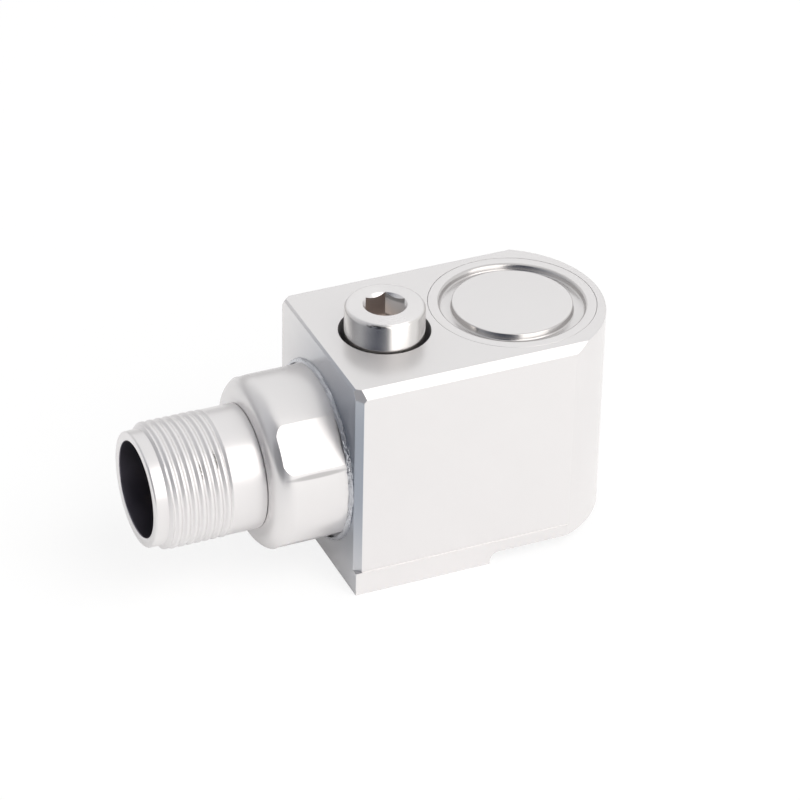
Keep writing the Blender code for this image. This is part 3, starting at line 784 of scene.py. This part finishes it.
def break_edges(piece: Piece, method: str, width: float, steps: int) -> None:
    """Round a piece's edges.

    Args:
        piece: The dressed piece.
        method: Which edges are rounded, by their "WEIGHT" or their "ANGLE".
        width: The rounding's width.
        steps: Faces across it.
    """
    bevel = piece.modifiers.new("broken_edges", "BEVEL")
    bevel.limit_method = method
    bevel.angle_limit = math.radians(SHARP_ANGLE)
    bevel.width = width
    bevel.segments = steps
    bevel.harden_normals = True


@dataclass
class Housing(SubAssembly):
    """The milled body, with the tiny rounding that its broken edges have."""

    node: str = "housing_block"
    rounding: float = 0.14 * MM
    steps: int = 3
    flat_angle: float = 1.0
    edge_angle: float = 20.0
    ledge_height: float = 3.21 * MM
    seat_radius: float = 10.5 * MM
    fine_share: float = 0.2
    square: float = 0.65
    near: float = 0.06 * MM

    def build(self) -> None:
        """Clean the solid's faces and round its edges."""
        bm = bmesh.new()
        bm.from_mesh(frame["nodes"][self.node].data)
        bmesh.ops.remove_doubles(bm, verts=bm.verts, dist=WELD_DISTANCE)
        bmesh.ops.recalc_face_normals(bm, faces=bm.faces)
        bmesh.ops.dissolve_limit(
            bm,
            angle_limit=math.radians(self.flat_angle),
            verts=bm.verts,
            edges=bm.edges,
        )
        weights = bm.edges.layers.float.new("bevel_weight_edge")
        for edge in bm.edges:
            if len(edge.link_faces) == 2 and edge.calc_face_angle() > math.radians(self.edge_angle):
                edge[weights] = self._weight(edge)
        piece = self.add("milled_housing", bm, MILLED, "milled_steel", self.node)
        # The connector face gets the finish with painted shade
        repaint(piece, FACE_STEEL, lambda centre, normal: normal.x < -self.square)
        break_edges(piece, "WEIGHT", self.rounding, self.steps)

    def _weight(self, edge: bmesh.types.BMEdge) -> float:
        """Return how much of the full rounding an edge gets.

        Args:
            edge: An edge of the cleaned solid.

        Returns:
            A share from 0 to 1.
        """
        middle = (edge.verts[0].co + edge.verts[1].co) / 2
        from_sensor = (middle.xy - Vector((SENSOR_AXIS, 0.0))).length
        on_ledge = abs(middle.z - self.ledge_height) < self.near
        on_seat = abs(from_sensor - self.seat_radius) < self.near
        return self.fine_share if on_ledge or on_seat else 1.0


@dataclass
class SensingCap(SubAssembly):
    """The cover that is welded into the round end, with its annular groove."""

    radius: float = 10.45 * MM
    height: float = 29.24 * MM
    bottom: float = 26.24 * MM
    spigot_radius: float = 8.6 * MM
    spigot_end: float = 25.04 * MM
    disc_radius: float = 7.51 * MM
    groove_radius: float = 9.02 * MM
    groove_depth: float = 1.0 * MM
    hidden_rounding: float = 0.1 * MM
    disc_rounding: float = 0.14 * MM
    lip_rounding: float = 0.35 * MM
    floor_rounding: float = 0.25 * MM
    seam_rounding: float = 0.05 * MM
    steep: float = 0.93
    steps: int = 6
    segments: int = 192

    def build(self) -> None:
        """Turn the cap."""
        floor = self.height - self.groove_depth
        corners = [
            (0.0, self.spigot_end, 0.0),
            (self.spigot_radius, self.spigot_end, self.hidden_rounding),
            (self.spigot_radius, self.bottom, self.hidden_rounding),
            (self.radius, self.bottom, self.hidden_rounding),
            (self.radius, self.height, self.seam_rounding),
            (self.groove_radius, self.height, self.lip_rounding),
            (self.groove_radius, floor, self.floor_rounding),
            (self.disc_radius, floor, self.floor_rounding),
            (self.disc_radius, self.height, self.disc_rounding),
            (0.0, self.height, 0.0),
        ]
        bm = turned(corners, self.segments, self.steps)
        place = Matrix.Translation((SENSOR_AXIS, 0.0, 0.0))
        piece = self.add("welded_cap", bm, MILLED, "milled_steel", "sensing_cap", place=place)
        # The groove's walls get the darker copy of the steel: painted shade
        repaint(piece, GROOVE_PAINTED_SHADE, self._on_groove_wall)

    def _on_groove_wall(self, centre: Vector, normal: Vector) -> bool:
        """Tell whether a face is on a wall of the groove, lip and all.

        Args:
            centre: The face's centre.
            normal: Its normal.

        Returns:
            True for a face of a wall.
        """
        inner, outer = self.disc_radius - self.disc_rounding, self.groove_radius + self.lip_rounding
        low = self.height - self.groove_depth - self.floor_rounding
        return inner < centre.xy.length < outer and centre.z > low and normal.z < self.steep


@dataclass(frozen=True)
class Thread:
    """A V thread about the local Z axis."""

    major: float
    depth: float
    pitch: float
    start: float
    end: float

    # Place along one pitch and share of the depth there
    FORM: ClassVar[tuple[Point, ...]] = (
        (0.0, 0.0),
        (0.12, 0.0),
        (0.18, 0.06),
        (0.25, 0.3),
        (0.33, 0.62),
        (0.41, 0.9),
        (0.47, 0.98),
        (0.53, 1.0),
        (0.59, 0.98),
        (0.65, 0.9),
        (0.73, 0.62),
        (0.81, 0.3),
        (0.88, 0.06),
        (0.94, 0.0),
    )

    def rows(self, limit: Limit) -> list[Row]:
        """Return the rows of a sweep along the thread.

        Args:
            limit: Takes a radius and a height, and returns the radius that the ends allow.

        Returns:
            The rows, which climb one pitch in a turn.
        """
        turns = math.ceil((self.end - self.start) / self.pitch)
        starts = [count + along for count in range(-1, turns + 1) for along, _ in self.FORM]
        return [partial(self._point, limit, start) for start in starts]

    def _point(self, limit: Limit, start: float, turn: float) -> Point:
        """Return the radius and height of one row's point.

        Args:
            limit: Takes a radius and a height, and returns the radius that the ends allow.
            start: Where the row starts, in pitches past the thread's start.
            turn: The point's turn, from 0 to 1.

        Returns:
            The radius and height.
        """
        height = self.start + (start + turn) * self.pitch
        height = min(max(height, self.start), self.end)
        phase = ((height - self.start) / self.pitch - turn) % 1.0
        return limit(self.major - self.depth * self._share(phase), height), height

    def _share(self, phase: float) -> float:
        """Return the share of the full depth at a place along one pitch.

        Args:
            phase: The place, from 0 to 1.

        Returns:
            The share.
        """
        stops = [*self.FORM, (1.0, 0.0)]
        for (low, first), (high, second) in zip(stops, stops[1:]):
            if phase <= high:
                return first + (second - first) * (phase - low) / (high - low)
        return 0.0


@dataclass
class Connector(SubAssembly):
    """The collar, its weld, the threaded receptacle, the glass header and the pins.

    Lengths are measured outward from the body's connector face.
    """

    face: float = 8.77 * MM
    collar_radius: float = 11.1 * MM
    collar_length: float = 9.63 * MM
    nose_radius: float = 2.5 * MM
    hollow_radius: float = 8.6 * MM
    mouth_length: float = 4.6 * MM
    flat_count: int = 4
    flat_distance: float = 10.65 * MM
    flat_length: float = 8.28 * MM
    flat_turn: float = -51.0
    edge_rounding: float = 0.1 * MM
    bead_inner: float = 11.06 * MM
    bead_size: float = 0.46 * MM
    bead_steps: int = 12
    bead_lump: float = 0.05
    bead_rough: float = math.radians(-80.0)
    bead_rougher: float = 3.5
    bead_waves: Point = (14.0, 3.0)
    bead_fine: float = 3.7
    shell_length: float = 23.83 * MM
    bore_radius: float = 6.03 * MM
    pilot_radius: float = 7.25 * MM
    pilot_length: float = 1.65 * MM
    thread_radius: float = 7.94 * MM
    thread_depth: float = 0.3 * MM
    thread_length: float = 8.35 * MM
    pitch: float = 1.058 * MM
    neck_radius: float = 7.85 * MM
    neck_rounding: float = 0.12 * MM
    lead_in: float = 0.5 * MM
    runout_start: float = 0.4
    spigot_radius: float = 7.2 * MM
    spigot_length: float = 5.4 * MM
    gap: float = 0.3 * MM
    seat: float = 0.03 * MM
    rim_rounding: float = 0.25 * MM
    header_front: float = 11.83 * MM
    header_back: float = 8.83 * MM
    header_ledge: float = 1.0 * MM
    header_rounding: float = 0.3 * MM
    pin_radius: float = 0.785 * MM
    pin_rounding: float = 0.7 * MM
    pin_break: float = 0.15 * MM
    pin_circle: float = 2.6 * MM
    pin_count: int = 3
    pin_tip: float = 18.83 * MM
    pin_tail: float = 6.83 * MM
    nose_steps: int = 14
    rim_steps: int = 5
    pin_steps: int = 6
    flat_sharp: float = 12.0
    fine: int = 192
    medium: int = 96
    coarse: int = 48

    def build(self) -> None:
        """Make every piece of the connector."""
        self._collar()
        self._bead()
        self._shell()
        self._header()
        self._pins()

    def _place(self, across: Vector = Vector()) -> Matrix:
        """Return the place of a piece whose own Z axis is the connector's, shifted across it."""
        move = Matrix.Translation((-self.face, 0.0, CONNECTOR_HEIGHT))
        return move @ Matrix.Rotation(math.radians(-90.0), 4, "Y") @ Matrix.Translation(across)

    def _collar(self) -> None:
        """Turn the collar and mill its spanner flats."""
        mouth = self.spigot_radius + self.gap
        back = self.collar_length - self.mouth_length
        corners = [
            (self.hollow_radius, 0.0, 0.0),
            (self.collar_radius, 0.0, 0.0),
            (self.collar_radius, self.collar_length, self.nose_radius),
            (mouth, self.collar_length, self.edge_rounding),
            (mouth, back, 0.0),
            (self.hollow_radius, back, 0.0),
        ]
        body = turned(corners, self.fine, self.nose_steps, closed=True)
        cutters = []
        reach = 2 * self.collar_radius
        for index in range(self.flat_count):
            outline = [
                (self.flat_distance, -self.collar_radius),
                (reach, -self.collar_radius),
                (reach, self.collar_radius),
                (self.flat_distance, self.collar_radius),
            ]
            cutter = prism(outline, -self.gap, self.flat_length)
            turn = math.tau * index / self.flat_count + math.radians(self.flat_turn)
            bmesh.ops.rotate(cutter, verts=cutter.verts, matrix=Matrix.Rotation(turn, 3, "Z"))
            cutters.append(cutter)
        self.add(
            "round_collar",
            carved(body, cutters),
            COLLAR_STEEL,
            "turned_steel",
            "connector_collar",
            place=self._place(),
            sharp=self.flat_sharp,
        )

    def _bead(self) -> None:
        """Lay the rough weld round the collar."""
        shares = [step / self.bead_steps for step in range(self.bead_steps + 1)]
        rows: list[Row] = [partial(self._bead_point, share) for share in shares]
        bm = sweep(rows + fixed_rows([(self.bead_inner, 0.0)]), 2 * self.fine)
        self.add("collar_weld", bm, BEAD_METAL, "weld_metal", "collar_weld_bead", place=self._place())

    def _bead_point(self, share: float, turn: float) -> Point:
        """Return the radius and height of a point on the bead's rough back.

        Args:
            share: The point's place across the bead, from 0 to 1.
            turn: Its turn about the axis, from 0 to 1.

        Returns:
            The radius and height.
        """
        waves, rise = self.bead_waves
        angle = math.tau * turn
        spot = Vector((math.cos(angle) * waves, math.sin(angle) * waves, share * rise))
        rough = max(0.0, math.cos(angle - self.bead_rough)) * self.bead_rougher
        lump = noise.noise(spot) + noise.noise(spot * self.bead_fine)
        size = self.bead_size * (1.0 + self.bead_lump * (1.0 + rough) * lump)
        lean = share * math.pi / 2
        return self.bead_inner + size * math.cos(lean), size * math.sin(lean)

    def _shell(self) -> None:
        """Turn the receptacle and cut its thread."""
        end, start = self.shell_length, self.shell_length - self.pilot_length
        thread = Thread(
            self.thread_radius,
            self.thread_depth,
            self.pitch,
            start - self.thread_length,
            start,
        )
        shoulder = self.collar_length + self.seat
        step = self.header_back - self.gap
        narrow = self.bore_radius - self.header_ledge
        inner = rounded(
            [
                (self.pilot_radius, start, 0.0),
                (self.pilot_radius, end, self.rim_rounding),
                (self.bore_radius, end, self.rim_rounding),
                (self.bore_radius, step, 0.0),
                (narrow, step, 0.0),
                (narrow, shoulder - self.spigot_length, 0.0),
                (self.spigot_radius, shoulder - self.spigot_length, 0.0),
                (self.spigot_radius, shoulder, 0.0),
                (self.neck_radius, shoulder, self.neck_rounding),
                (self.neck_radius, thread.start, 0.0),
            ],
            closed=False,
            steps=self.rim_steps,
        )
        bm = sweep(fixed_rows(inner) + thread.rows(partial(self._limit, thread)), self.fine)
        piece = self.add(
            "threaded_receptacle",
            bm,
            NECK_STEEL,
            "turned_steel",
            "connector_shell",
            place=self._place(),
        )
        edge = self.bore_radius + self.rim_rounding / 4
        # The bore gets the near-black copy of the steel: painted shade
        repaint(piece, BORE_PAINTED_SHADE, lambda centre, normal: centre.xy.length < edge)
        repaint(piece, THREAD_STEEL, lambda centre, normal: self._in_thread(centre, thread))

    def _limit(self, thread: Thread, radius: float, height: float) -> float:
        """Keep the thread inside its lead-in and outside its run-out.

        Args:
            thread: The thread.
            radius: The radius of its form at a point.
            height: The point's height.

        Returns:
            The radius that the ends allow.
        """
        from_pilot = (thread.end - height) / self.lead_in
        from_neck = (height - thread.start) / self.lead_in
        outer = self.pilot_radius + (self.thread_radius - self.pilot_radius) * from_pilot
        runout = self.neck_radius - self.thread_depth * max(0.0, from_neck - self.runout_start)
        cone = self.neck_radius + (self.thread_radius - self.neck_radius) * from_neck
        return min(max(radius, runout), outer, max(cone, self.neck_radius))

    def _in_thread(self, centre: Vector, thread: Thread) -> bool:
        """Tell whether a face lies on the thread."""
        outside = centre.xy.length > (self.bore_radius + self.pilot_radius) / 2
        return outside and thread.start < centre.z < thread.end

    def _pin_places(self) -> list[Vector]:
        """Return the pins' places across the connector's axis, the first at the top."""
        turns = [math.tau * index / self.pin_count for index in range(self.pin_count)]
        return [Vector((math.cos(turn), -math.sin(turn), 0.0)) * self.pin_circle for turn in turns]

    def _header(self) -> None:
        """Make the glass header with a raised collar of glass round each pin."""
        radius = self.bore_radius - self.gap
        corners = [
            (0.0, self.header_back, 0.0),
            (radius, self.header_back, self.edge_rounding),
            (radius, self.header_front, self.header_rounding),
            (0.0, self.header_front, 0.0),
        ]
        body = turned(corners, self.medium)
        edge = self.pin_radius + self.gap
        low, high = self.header_back - self.gap, self.header_front + self.gap
        holes = []
        for place in self._pin_places():
            section = [(0.0, low, 0.0), (edge, low, 0.0), (edge, high, 0.0), (0.0, high, 0.0)]
            hole = turned(section, self.coarse)
            bmesh.ops.translate(hole, verts=hole.verts, vec=place)
            holes.append(hole)
        self.add(
            "glass_header",
            carved(body, holes),
            HEADER_GLASS,
            "sealing_glass",
            "connector_header",
            place=self._place(),
        )

    def _pins(self) -> None:
        """Turn the contact pins with their rounded tips."""
        corners = [
            (0.0, self.pin_tail, 0.0),
            (self.pin_radius, self.pin_tail, self.pin_break),
            (self.pin_radius, self.pin_tip, self.pin_rounding),
            (0.0, self.pin_tip, 0.0),
        ]
        for number, place in enumerate(self._pin_places(), start=1):
            bm = turned(corners, self.coarse, self.pin_steps)
            node = f"contact_pin_{number}"
            self.add(f"pin_{number}", bm, PIN_GOLD, "gold_plate", node, place=self._place(place))


@dataclass
class MountingScrew(SubAssembly):
    """The captive socket head screw."""

    body: str = "mounting_screw"
    shank_radius: float = 3.0 * MM
    thread_depth: float = 0.6 * MM
    pitch: float = 1.0 * MM
    thread_length: float = 10.5 * MM
    runout: float = 0.3 * MM
    waist_radius: float = 2.2 * MM
    waist_width: float = 1.5 * MM
    waist_rounding: float = 0.1 * MM
    length: float = 26.88 * MM
    head_radius: float = 4.98 * MM
    head_height: float = 6.0 * MM
    head_fillet: float = 0.25 * MM
    head_break: float = 0.15 * MM
    head_rounding: float = 0.55 * MM
    head_steps: int = 8
    tip_chamfer: float = 0.6 * MM
    hex_across: float = 4.75 * MM
    hex_depth: float = 3.0 * MM
    hex_turn: float = 6.0
    hex_sides: int = 6
    hex_reach: float = 0.6
    lit_turn: float = math.radians(-144.0)
    lit_share: float = 0.95
    wall_tilt: float = 0.3
    point_radius: float = 2.3 * MM
    point_depth: float = 1.0 * MM
    point_step: float = 0.1 * MM
    margin: float = 1.0 * MM
    lip_rounding: float = 0.05 * MM
    lip_steps: int = 2
    crease: float = 28.0
    fine: int = 128

    def build(self) -> None:
        """Turn the screw, cut its thread and its hexagon socket."""
        top = self.length + self.head_height
        thread = Thread(self.shank_radius, self.thread_depth, self.pitch, 0.0, self.thread_length)
        waist_top = self.thread_length + self.waist_width
        head = rounded(
            [
                (self.shank_radius, self.thread_length, 0.0),
                (self.waist_radius, self.thread_length, 0.0),
                (self.waist_radius, waist_top, 0.0),
                (self.shank_radius, waist_top, self.waist_rounding),
                (self.shank_radius, self.length, self.head_fillet),
                (self.head_radius, self.length, self.head_break),
                (self.head_radius, top, self.head_rounding),
                (0.0, top, 0.0),
            ],
            closed=False,
            steps=self.head_steps,
        )
        tip = fixed_rows([(0.0, 0.0)])
        bm = sweep(tip + thread.rows(self._limit) + fixed_rows(head), self.fine, closed=False)
        piece = self.add(
            "socket_screw",
            carved(bm, self._socket_tools(top)),
            SCREW_STEEL,
            "polished_steel",
            "mounting_screw",
            sharp=self.crease,
        )
        self._dress(piece, top)
        break_edges(piece, "ANGLE", self.lip_rounding, self.lip_steps)

    def _limit(self, radius: float, height: float) -> float:
        """Keep the thread inside the tip's chamfer and outside its run-out.

        Args:
            radius: The radius of its form at a point.
            height: The point's height.

        Returns:
            The radius that the ends allow.
        """
        tip = self.shank_radius - self.tip_chamfer + height
        runout = self.shank_radius - max(0.0, self.thread_length - height - self.runout)
        return min(max(radius, runout), tip, self.shank_radius)

    def _dress(self, piece: Piece, top: float) -> None:
        """Give the socket's walls painted shade, the wall that faces the light painted light, and the
        head's side painted shade.

        Args:
            piece: The screw.
            top: Height of the head's top.
        """
        deep = top - self.hex_depth / 4
        narrow = self.hex_across * self.hex_reach
        lit = Vector((math.cos(self.lit_turn), math.sin(self.lit_turn), 0.0))
        edge = self.head_radius - self.head_rounding / 2
        brim = top - self.head_rounding / 4

        def in_socket(centre: Vector, normal: Vector) -> bool:
            """Tell whether a face lies in the hexagon socket, below its conical mouth."""
            inside = centre.xy.length < narrow and centre.z > self.length
            return inside and (centre.z < deep or abs(normal.z) < self.wall_tilt)

        # Painted shade on the socket's walls
        repaint(piece, SOCKET_PAINTED_SHADE, in_socket)
        # Painted light on the wall that faces the light
        repaint(
            piece,
            SOCKET_PAINTED_LIGHT,
            lambda centre, normal: in_socket(centre, normal) and normal.dot(lit) > self.lit_share,
        )
        # Painted shade on the head's side
        repaint(
            piece,
            HEAD_PAINTED_SHADE,
            lambda centre, normal: centre.xy.length > edge and self.length < centre.z < brim,
        )

    def _socket_tools(self, top: float) -> list[Mesh]:
        """Return what the socket is cut with: hexagon, conical mouth and drilled point.

        Args:
            top: Height of the head's top.

        Returns:
            The closed meshes to cut with.
        """
        floor = top - self.hex_depth
        high = top + self.margin
        corner = self.hex_across / 2 / math.cos(math.pi / self.hex_sides)
        apart = 360.0 / self.hex_sides
        turns = [math.radians(self.hex_turn + apart * index) for index in range(self.hex_sides)]
        hexagon = [(corner * math.cos(turn), corner * math.sin(turn)) for turn in turns]
        mouth = [(0.0, top - corner, 0.0), (corner + self.margin, high, 0.0), (0.0, high, 0.0)]
        deep, shoulder = floor - self.point_depth, floor + self.point_step
        point = [(0.0, deep, 0.0), (self.point_radius, shoulder, 0.0), (0.0, shoulder, 0.0)]
        return [prism(hexagon, floor, high), turned(mouth, self.fine), turned(point, self.fine // 2)]


@dataclass
class CaptiveRing(SubAssembly):
    """The rubber ring that keeps the screw in its hole."""

    body: str = "captive_ring"
    outer: float = 3.2 * MM
    section: float = 0.9 * MM
    height: float = 11.25 * MM
    segments: int = 96
    sides: int = 24

    def build(self) -> None:
        """Mould the ring."""
        centre = self.outer - self.section / 2
        half = self.section / 2
        turns = [math.tau * side / self.sides for side in range(self.sides)]
        spokes = [(half * math.cos(turn), half * math.sin(turn)) for turn in turns]
        section = [(centre + across, self.height + up) for across, up in spokes]
        bm = sweep(fixed_rows(section), self.segments)
        self.add("captive_o_ring", bm, SEAL_RUBBER, "rubber", "screw_o_ring")


class InnerParts:
    """The sealed solids of the sensing element, the amplifier and the leads."""

    def dress(self) -> None:
        """Give each solid that is still shown the finish of its slot."""
        slots = {part["node"]: part["material_slot"] for part in frame["record"]["subparts"]}
        for name, node in frame["nodes"].items():
            if node.hide_render:
                continue
            node.data.materials.clear()
            node.data.materials.append(look(KEPT_SOLIDS[slots[name]]))
            LOG.info("%s: dressed as %s", name, slots[name])


@dataclass
class Studio:
    """The floor, the world, the lamps, the cards that the metal mirrors, and the camera."""

    floor_size: float = 6.0
    floor_colour: Colour = (0.90, 0.90, 0.90)
    floor_seen: float = 0.83
    floor_mirrored: float = 0.1
    fill: float = 0.62
    key_azimuth: float = -69.75
    key_elevation: float = 39.5
    key_distance: float = 0.6
    key_width: float = 0.54
    key_height: float = 0.57
    key_power: float = 1.32
    key_colour: Colour = (1.0, 0.955, 0.915)
    top_azimuth: float = -55.0
    top_elevation: float = 55.0
    top_strength: float = 1.5
    top_angle: float = 40.0
    card_distance: float = 0.75
    card_near: float = -99.5
    card_far: float = -255.0
    card_high: float = 72.0
    fade_low: float = 0.14
    fade_high: float = 0.32
    low_near: float = -16.0
    low_far: float = 104.0
    low_high: float = 15.0
    low_colour: Colour = (0.50, 0.49, 0.49)
    card_steps: int = 48
    card_rises: int = 16
    focal_length: float = 181.48
    clip: Point = (0.01, 50.0)
    camera_place: Corner = (-0.16801, -0.38097, 0.29077)
    camera_azimuth: float = -24.082
    camera_elevation: float = 33.135
    camera_roll: float = 1.240

    # Share of the half turn from -Y to -X to +Y, and the card's light there, low down
    LOW_STOPS: ClassVar[tuple[tuple[float, Colour], ...]] = (
        (0.04, (0.55, 0.55, 0.56)),
        (0.09, (0.32, 0.33, 0.35)),
        (0.16, (0.17, 0.18, 0.21)),
        (0.27, (0.09, 0.10, 0.13)),
        (0.37, (0.12, 0.13, 0.16)),
        (0.51, (0.36, 0.37, 0.39)),
        (0.64, (0.24, 0.24, 0.26)),
        (0.76, (0.50, 0.50, 0.51)),
        (0.92, (0.62, 0.61, 0.61)),
    )

    # The same higher up
    CARD_STOPS: ClassVar[tuple[tuple[float, Colour], ...]] = (
        (0.06, (0.22, 0.23, 0.26)),
        (0.12, (0.07, 0.08, 0.11)),
        (0.25, (0.05, 0.06, 0.09)),
        (0.38, (0.32, 0.33, 0.36)),
        (0.53, (0.62, 0.63, 0.66)),
        (0.76, (0.72, 0.72, 0.73)),
        (0.90, (0.90, 0.90, 0.90)),
    )

    def build(self) -> None:
        """Set up the whole studio."""
        self._world()
        self._floor()
        self._lamps()
        self._cards()
        self._camera()
        bpy.context.scene.view_settings.view_transform = "Standard"
        LOG.info("studio: floor, lamps, cards and camera")

    def _world(self) -> None:
        """Light the scene evenly, and show white to the camera and in reflections."""
        world = bpy.data.worlds.new("studio_world")
        bpy.context.scene.world = world
        world.use_nodes = True
        world.cycles.sampling_method = "NONE"
        graph = Graph(world.node_tree)
        camera = self._ray(graph, "Is Camera Ray")
        seen = camera.at_least(self._ray(graph, "Is Glossy Ray"))
        seen = seen.at_least(self._ray(graph, "Is Transmission Ray"))
        background = graph.node(
            "ShaderNodeBackground",
            sockets={"Color": _rgba(WHITE), "Strength": self.fill + seen * (1.0 - self.fill)},
        )
        graph.node("ShaderNodeOutputWorld", sockets={"Surface": background})

    def _ray(self, graph: Graph, kind: str) -> Wire:
        """Return 1 for a kind of ray and 0 for the others."""
        return graph.node("ShaderNodeLightPath", output=kind)

    def _floor(self) -> None:
        """Lay the white floor, which keeps a light shadow."""
        half = self.floor_size / 2
        corners = ((-half, -half), (half, -half), (half, half), (-half, half))
        bm = bmesh.new()
        bm.faces.new([bm.verts.new((x, y, 0.0)) for x, y in corners])
        floor = _plain_object("studio_floor", bm)
        floor.data.materials.append(node_material("studio_floor_look", self._floor_surface))

    def _floor_surface(self, graph: Graph) -> Wire:
        """Return the floor's shader, which glows white to the camera and in reflections.

        Args:
            graph: The material's graph.

        Returns:
            The shader.
        """
        diffuse = graph.node("ShaderNodeBsdfDiffuse", sockets={"Color": _rgba(self.floor_colour)})
        mirrored = self._ray(graph, "Is Glossy Ray").at_least(self._ray(graph, "Is Transmission Ray"))
        seen = self._ray(graph, "Is Camera Ray") * self.floor_seen
        share = seen.at_least(mirrored * self.floor_mirrored)
        sockets = {0: share, 1: diffuse, 2: self._glow(graph, WHITE)}
        return graph.node("ShaderNodeMixShader", sockets=sockets)

    def _glow(self, graph: Graph, colour: Any) -> Wire:
        """Return a shader that gives back an even light of one colour."""
        return graph.node("ShaderNodeEmission", sockets={"Color": _rgba(colour), "Strength": 1.0})

    def _direction(self, azimuth: float, elevation: float) -> Vector:
        """Return a unit vector from compass angles in degrees, azimuth 0 along +X."""
        turn, rise = math.radians(azimuth), math.radians(elevation)
        return Vector((math.cos(turn) * math.cos(rise), math.sin(turn) * math.cos(rise), math.sin(rise)))

    def _lamp(self, name: str, kind: str, azimuth: float, elevation: float) -> Piece:
        """Add a lamp that points at the sensor.

        Args:
            name: The lamp's name.
            kind: Its type.
            azimuth: Compass angle at which it hangs, in degrees.
            elevation: Angle above the floor, in degrees.

        Returns:
            The lamp.
        """
        toward = self._direction(azimuth, elevation)
        lamp = bpy.data.objects.new(name, bpy.data.lights.new(name, kind))
        lamp.location = toward * self.key_distance
        lamp.rotation_euler = toward.to_track_quat("Z", "Y").to_euler()
        bpy.context.scene.collection.objects.link(lamp)
        return lamp

    def _lamps(self) -> None:
        """Hang the soft box, and the wide upper light that metal doesn't mirror."""
        key = self._lamp("soft_box", "AREA", self.key_azimuth, self.key_elevation)
        key.data.shape = "RECTANGLE"
        key.data.size = self.key_width
        key.data.size_y = self.key_height
        key.data.energy = self.key_power
        key.data.color = self.key_colour
        top = self._lamp("top_light", "SUN", self.top_azimuth, self.top_elevation)
        top.data.energy = self.top_strength
        top.data.angle = math.radians(self.top_angle)
        top.visible_glossy = False

    def _cards(self) -> None:
        """Stand the cards that only the metal reflects."""
        dark = node_material("dark_card_look", self._card_surface)
        self._card("dark_card", self.card_near, self.card_far, self.card_high, dark)
        grey = node_material("low_card_look", lambda graph: self._glow(graph, self.low_colour))
        self._card("low_card", self.low_near, self.low_far, self.low_high, grey)

    def _card(self, name: str, near: float, far: float, high: float, look: Material) -> None:
        """Stand a curved card round the sensor, from the floor up.

        Args:
            name: The card's name.
            near: Azimuth at which it starts, in degrees.
            far: Azimuth at which it ends.
            high: Elevation of its upper edge.
            look: Its material.
        """
        bm = bmesh.new()
        grid = []
        for step in range(self.card_steps + 1):
            azimuth = near + (far - near) * step / self.card_steps
            heights = [high * rise / self.card_rises for rise in range(self.card_rises + 1)]
            places = [self._direction(azimuth, height) for height in heights]
            grid.append([bm.verts.new(place * self.card_distance) for place in places])
        for here, there in zip(grid, grid[1:]):
            for low in range(self.card_rises):
                bm.faces.new((here[low], there[low], there[low + 1], here[low + 1]))
        card = _plain_object(name, bm)
        card.data.materials.append(look)
        card.visible_camera = False
        card.visible_diffuse = False
        card.visible_shadow = False
        card.visible_transmission = False

    def _card_surface(self, graph: Graph) -> Wire:
        """Return the dark card's shader, which is darkest low down and near the soft box.

        Args:
            graph: The material's graph.

        Returns:
            The shader.
        """
        place = graph.node("ShaderNodeTexCoord", output="Object")
        turn = graph.along(place, WEST).angle_to(graph.along(place, SOUTH)) * (1.0 / math.pi)
        low = graph.node("ShaderNodeValToRGB", {"stops": self.LOW_STOPS}, {0: turn})
        high = graph.node("ShaderNodeValToRGB", {"stops": self.CARD_STOPS}, {0: turn})
        rise = graph.along(place, UP).ramp(self.fade_low, self.fade_high)
        return self._glow(graph, graph.mix(rise, low, high))

    def _camera(self) -> None:
        """Place the camera as the photograph's was."""
        data = bpy.data.cameras.new("camera")
        data.lens = self.focal_length
        data.clip_start, data.clip_end = self.clip
        camera = bpy.data.objects.new("camera", data)
        turn, roll = math.radians(self.camera_azimuth), math.radians(self.camera_roll)
        back = self._direction(self.camera_azimuth - 90.0, self.camera_elevation)
        level = Vector((math.cos(turn), math.sin(turn), 0.0))
        upright = back.cross(level)
        right = level * math.cos(roll) + upright * math.sin(roll)
        up = upright * math.cos(roll) - level * math.sin(roll)
        basis = Matrix((right, up, back)).transposed().to_4x4()
        camera.matrix_world = Matrix.Translation(self.camera_place) @ basis
        bpy.context.scene.collection.objects.link(camera)
        bpy.context.scene.camera = camera


def main() -> None:
    """Build the studio and the sensor's pieces, in order."""
    logging.basicConfig(level=logging.INFO, format="%(name)s: %(message)s")
    Studio().build()
    Housing().build()
    SensingCap().build()
    MountingScrew().build()
    CaptiveRing().build()
    Connector().build()
    InnerParts().dress()


if __name__ == "__main__":
    main()
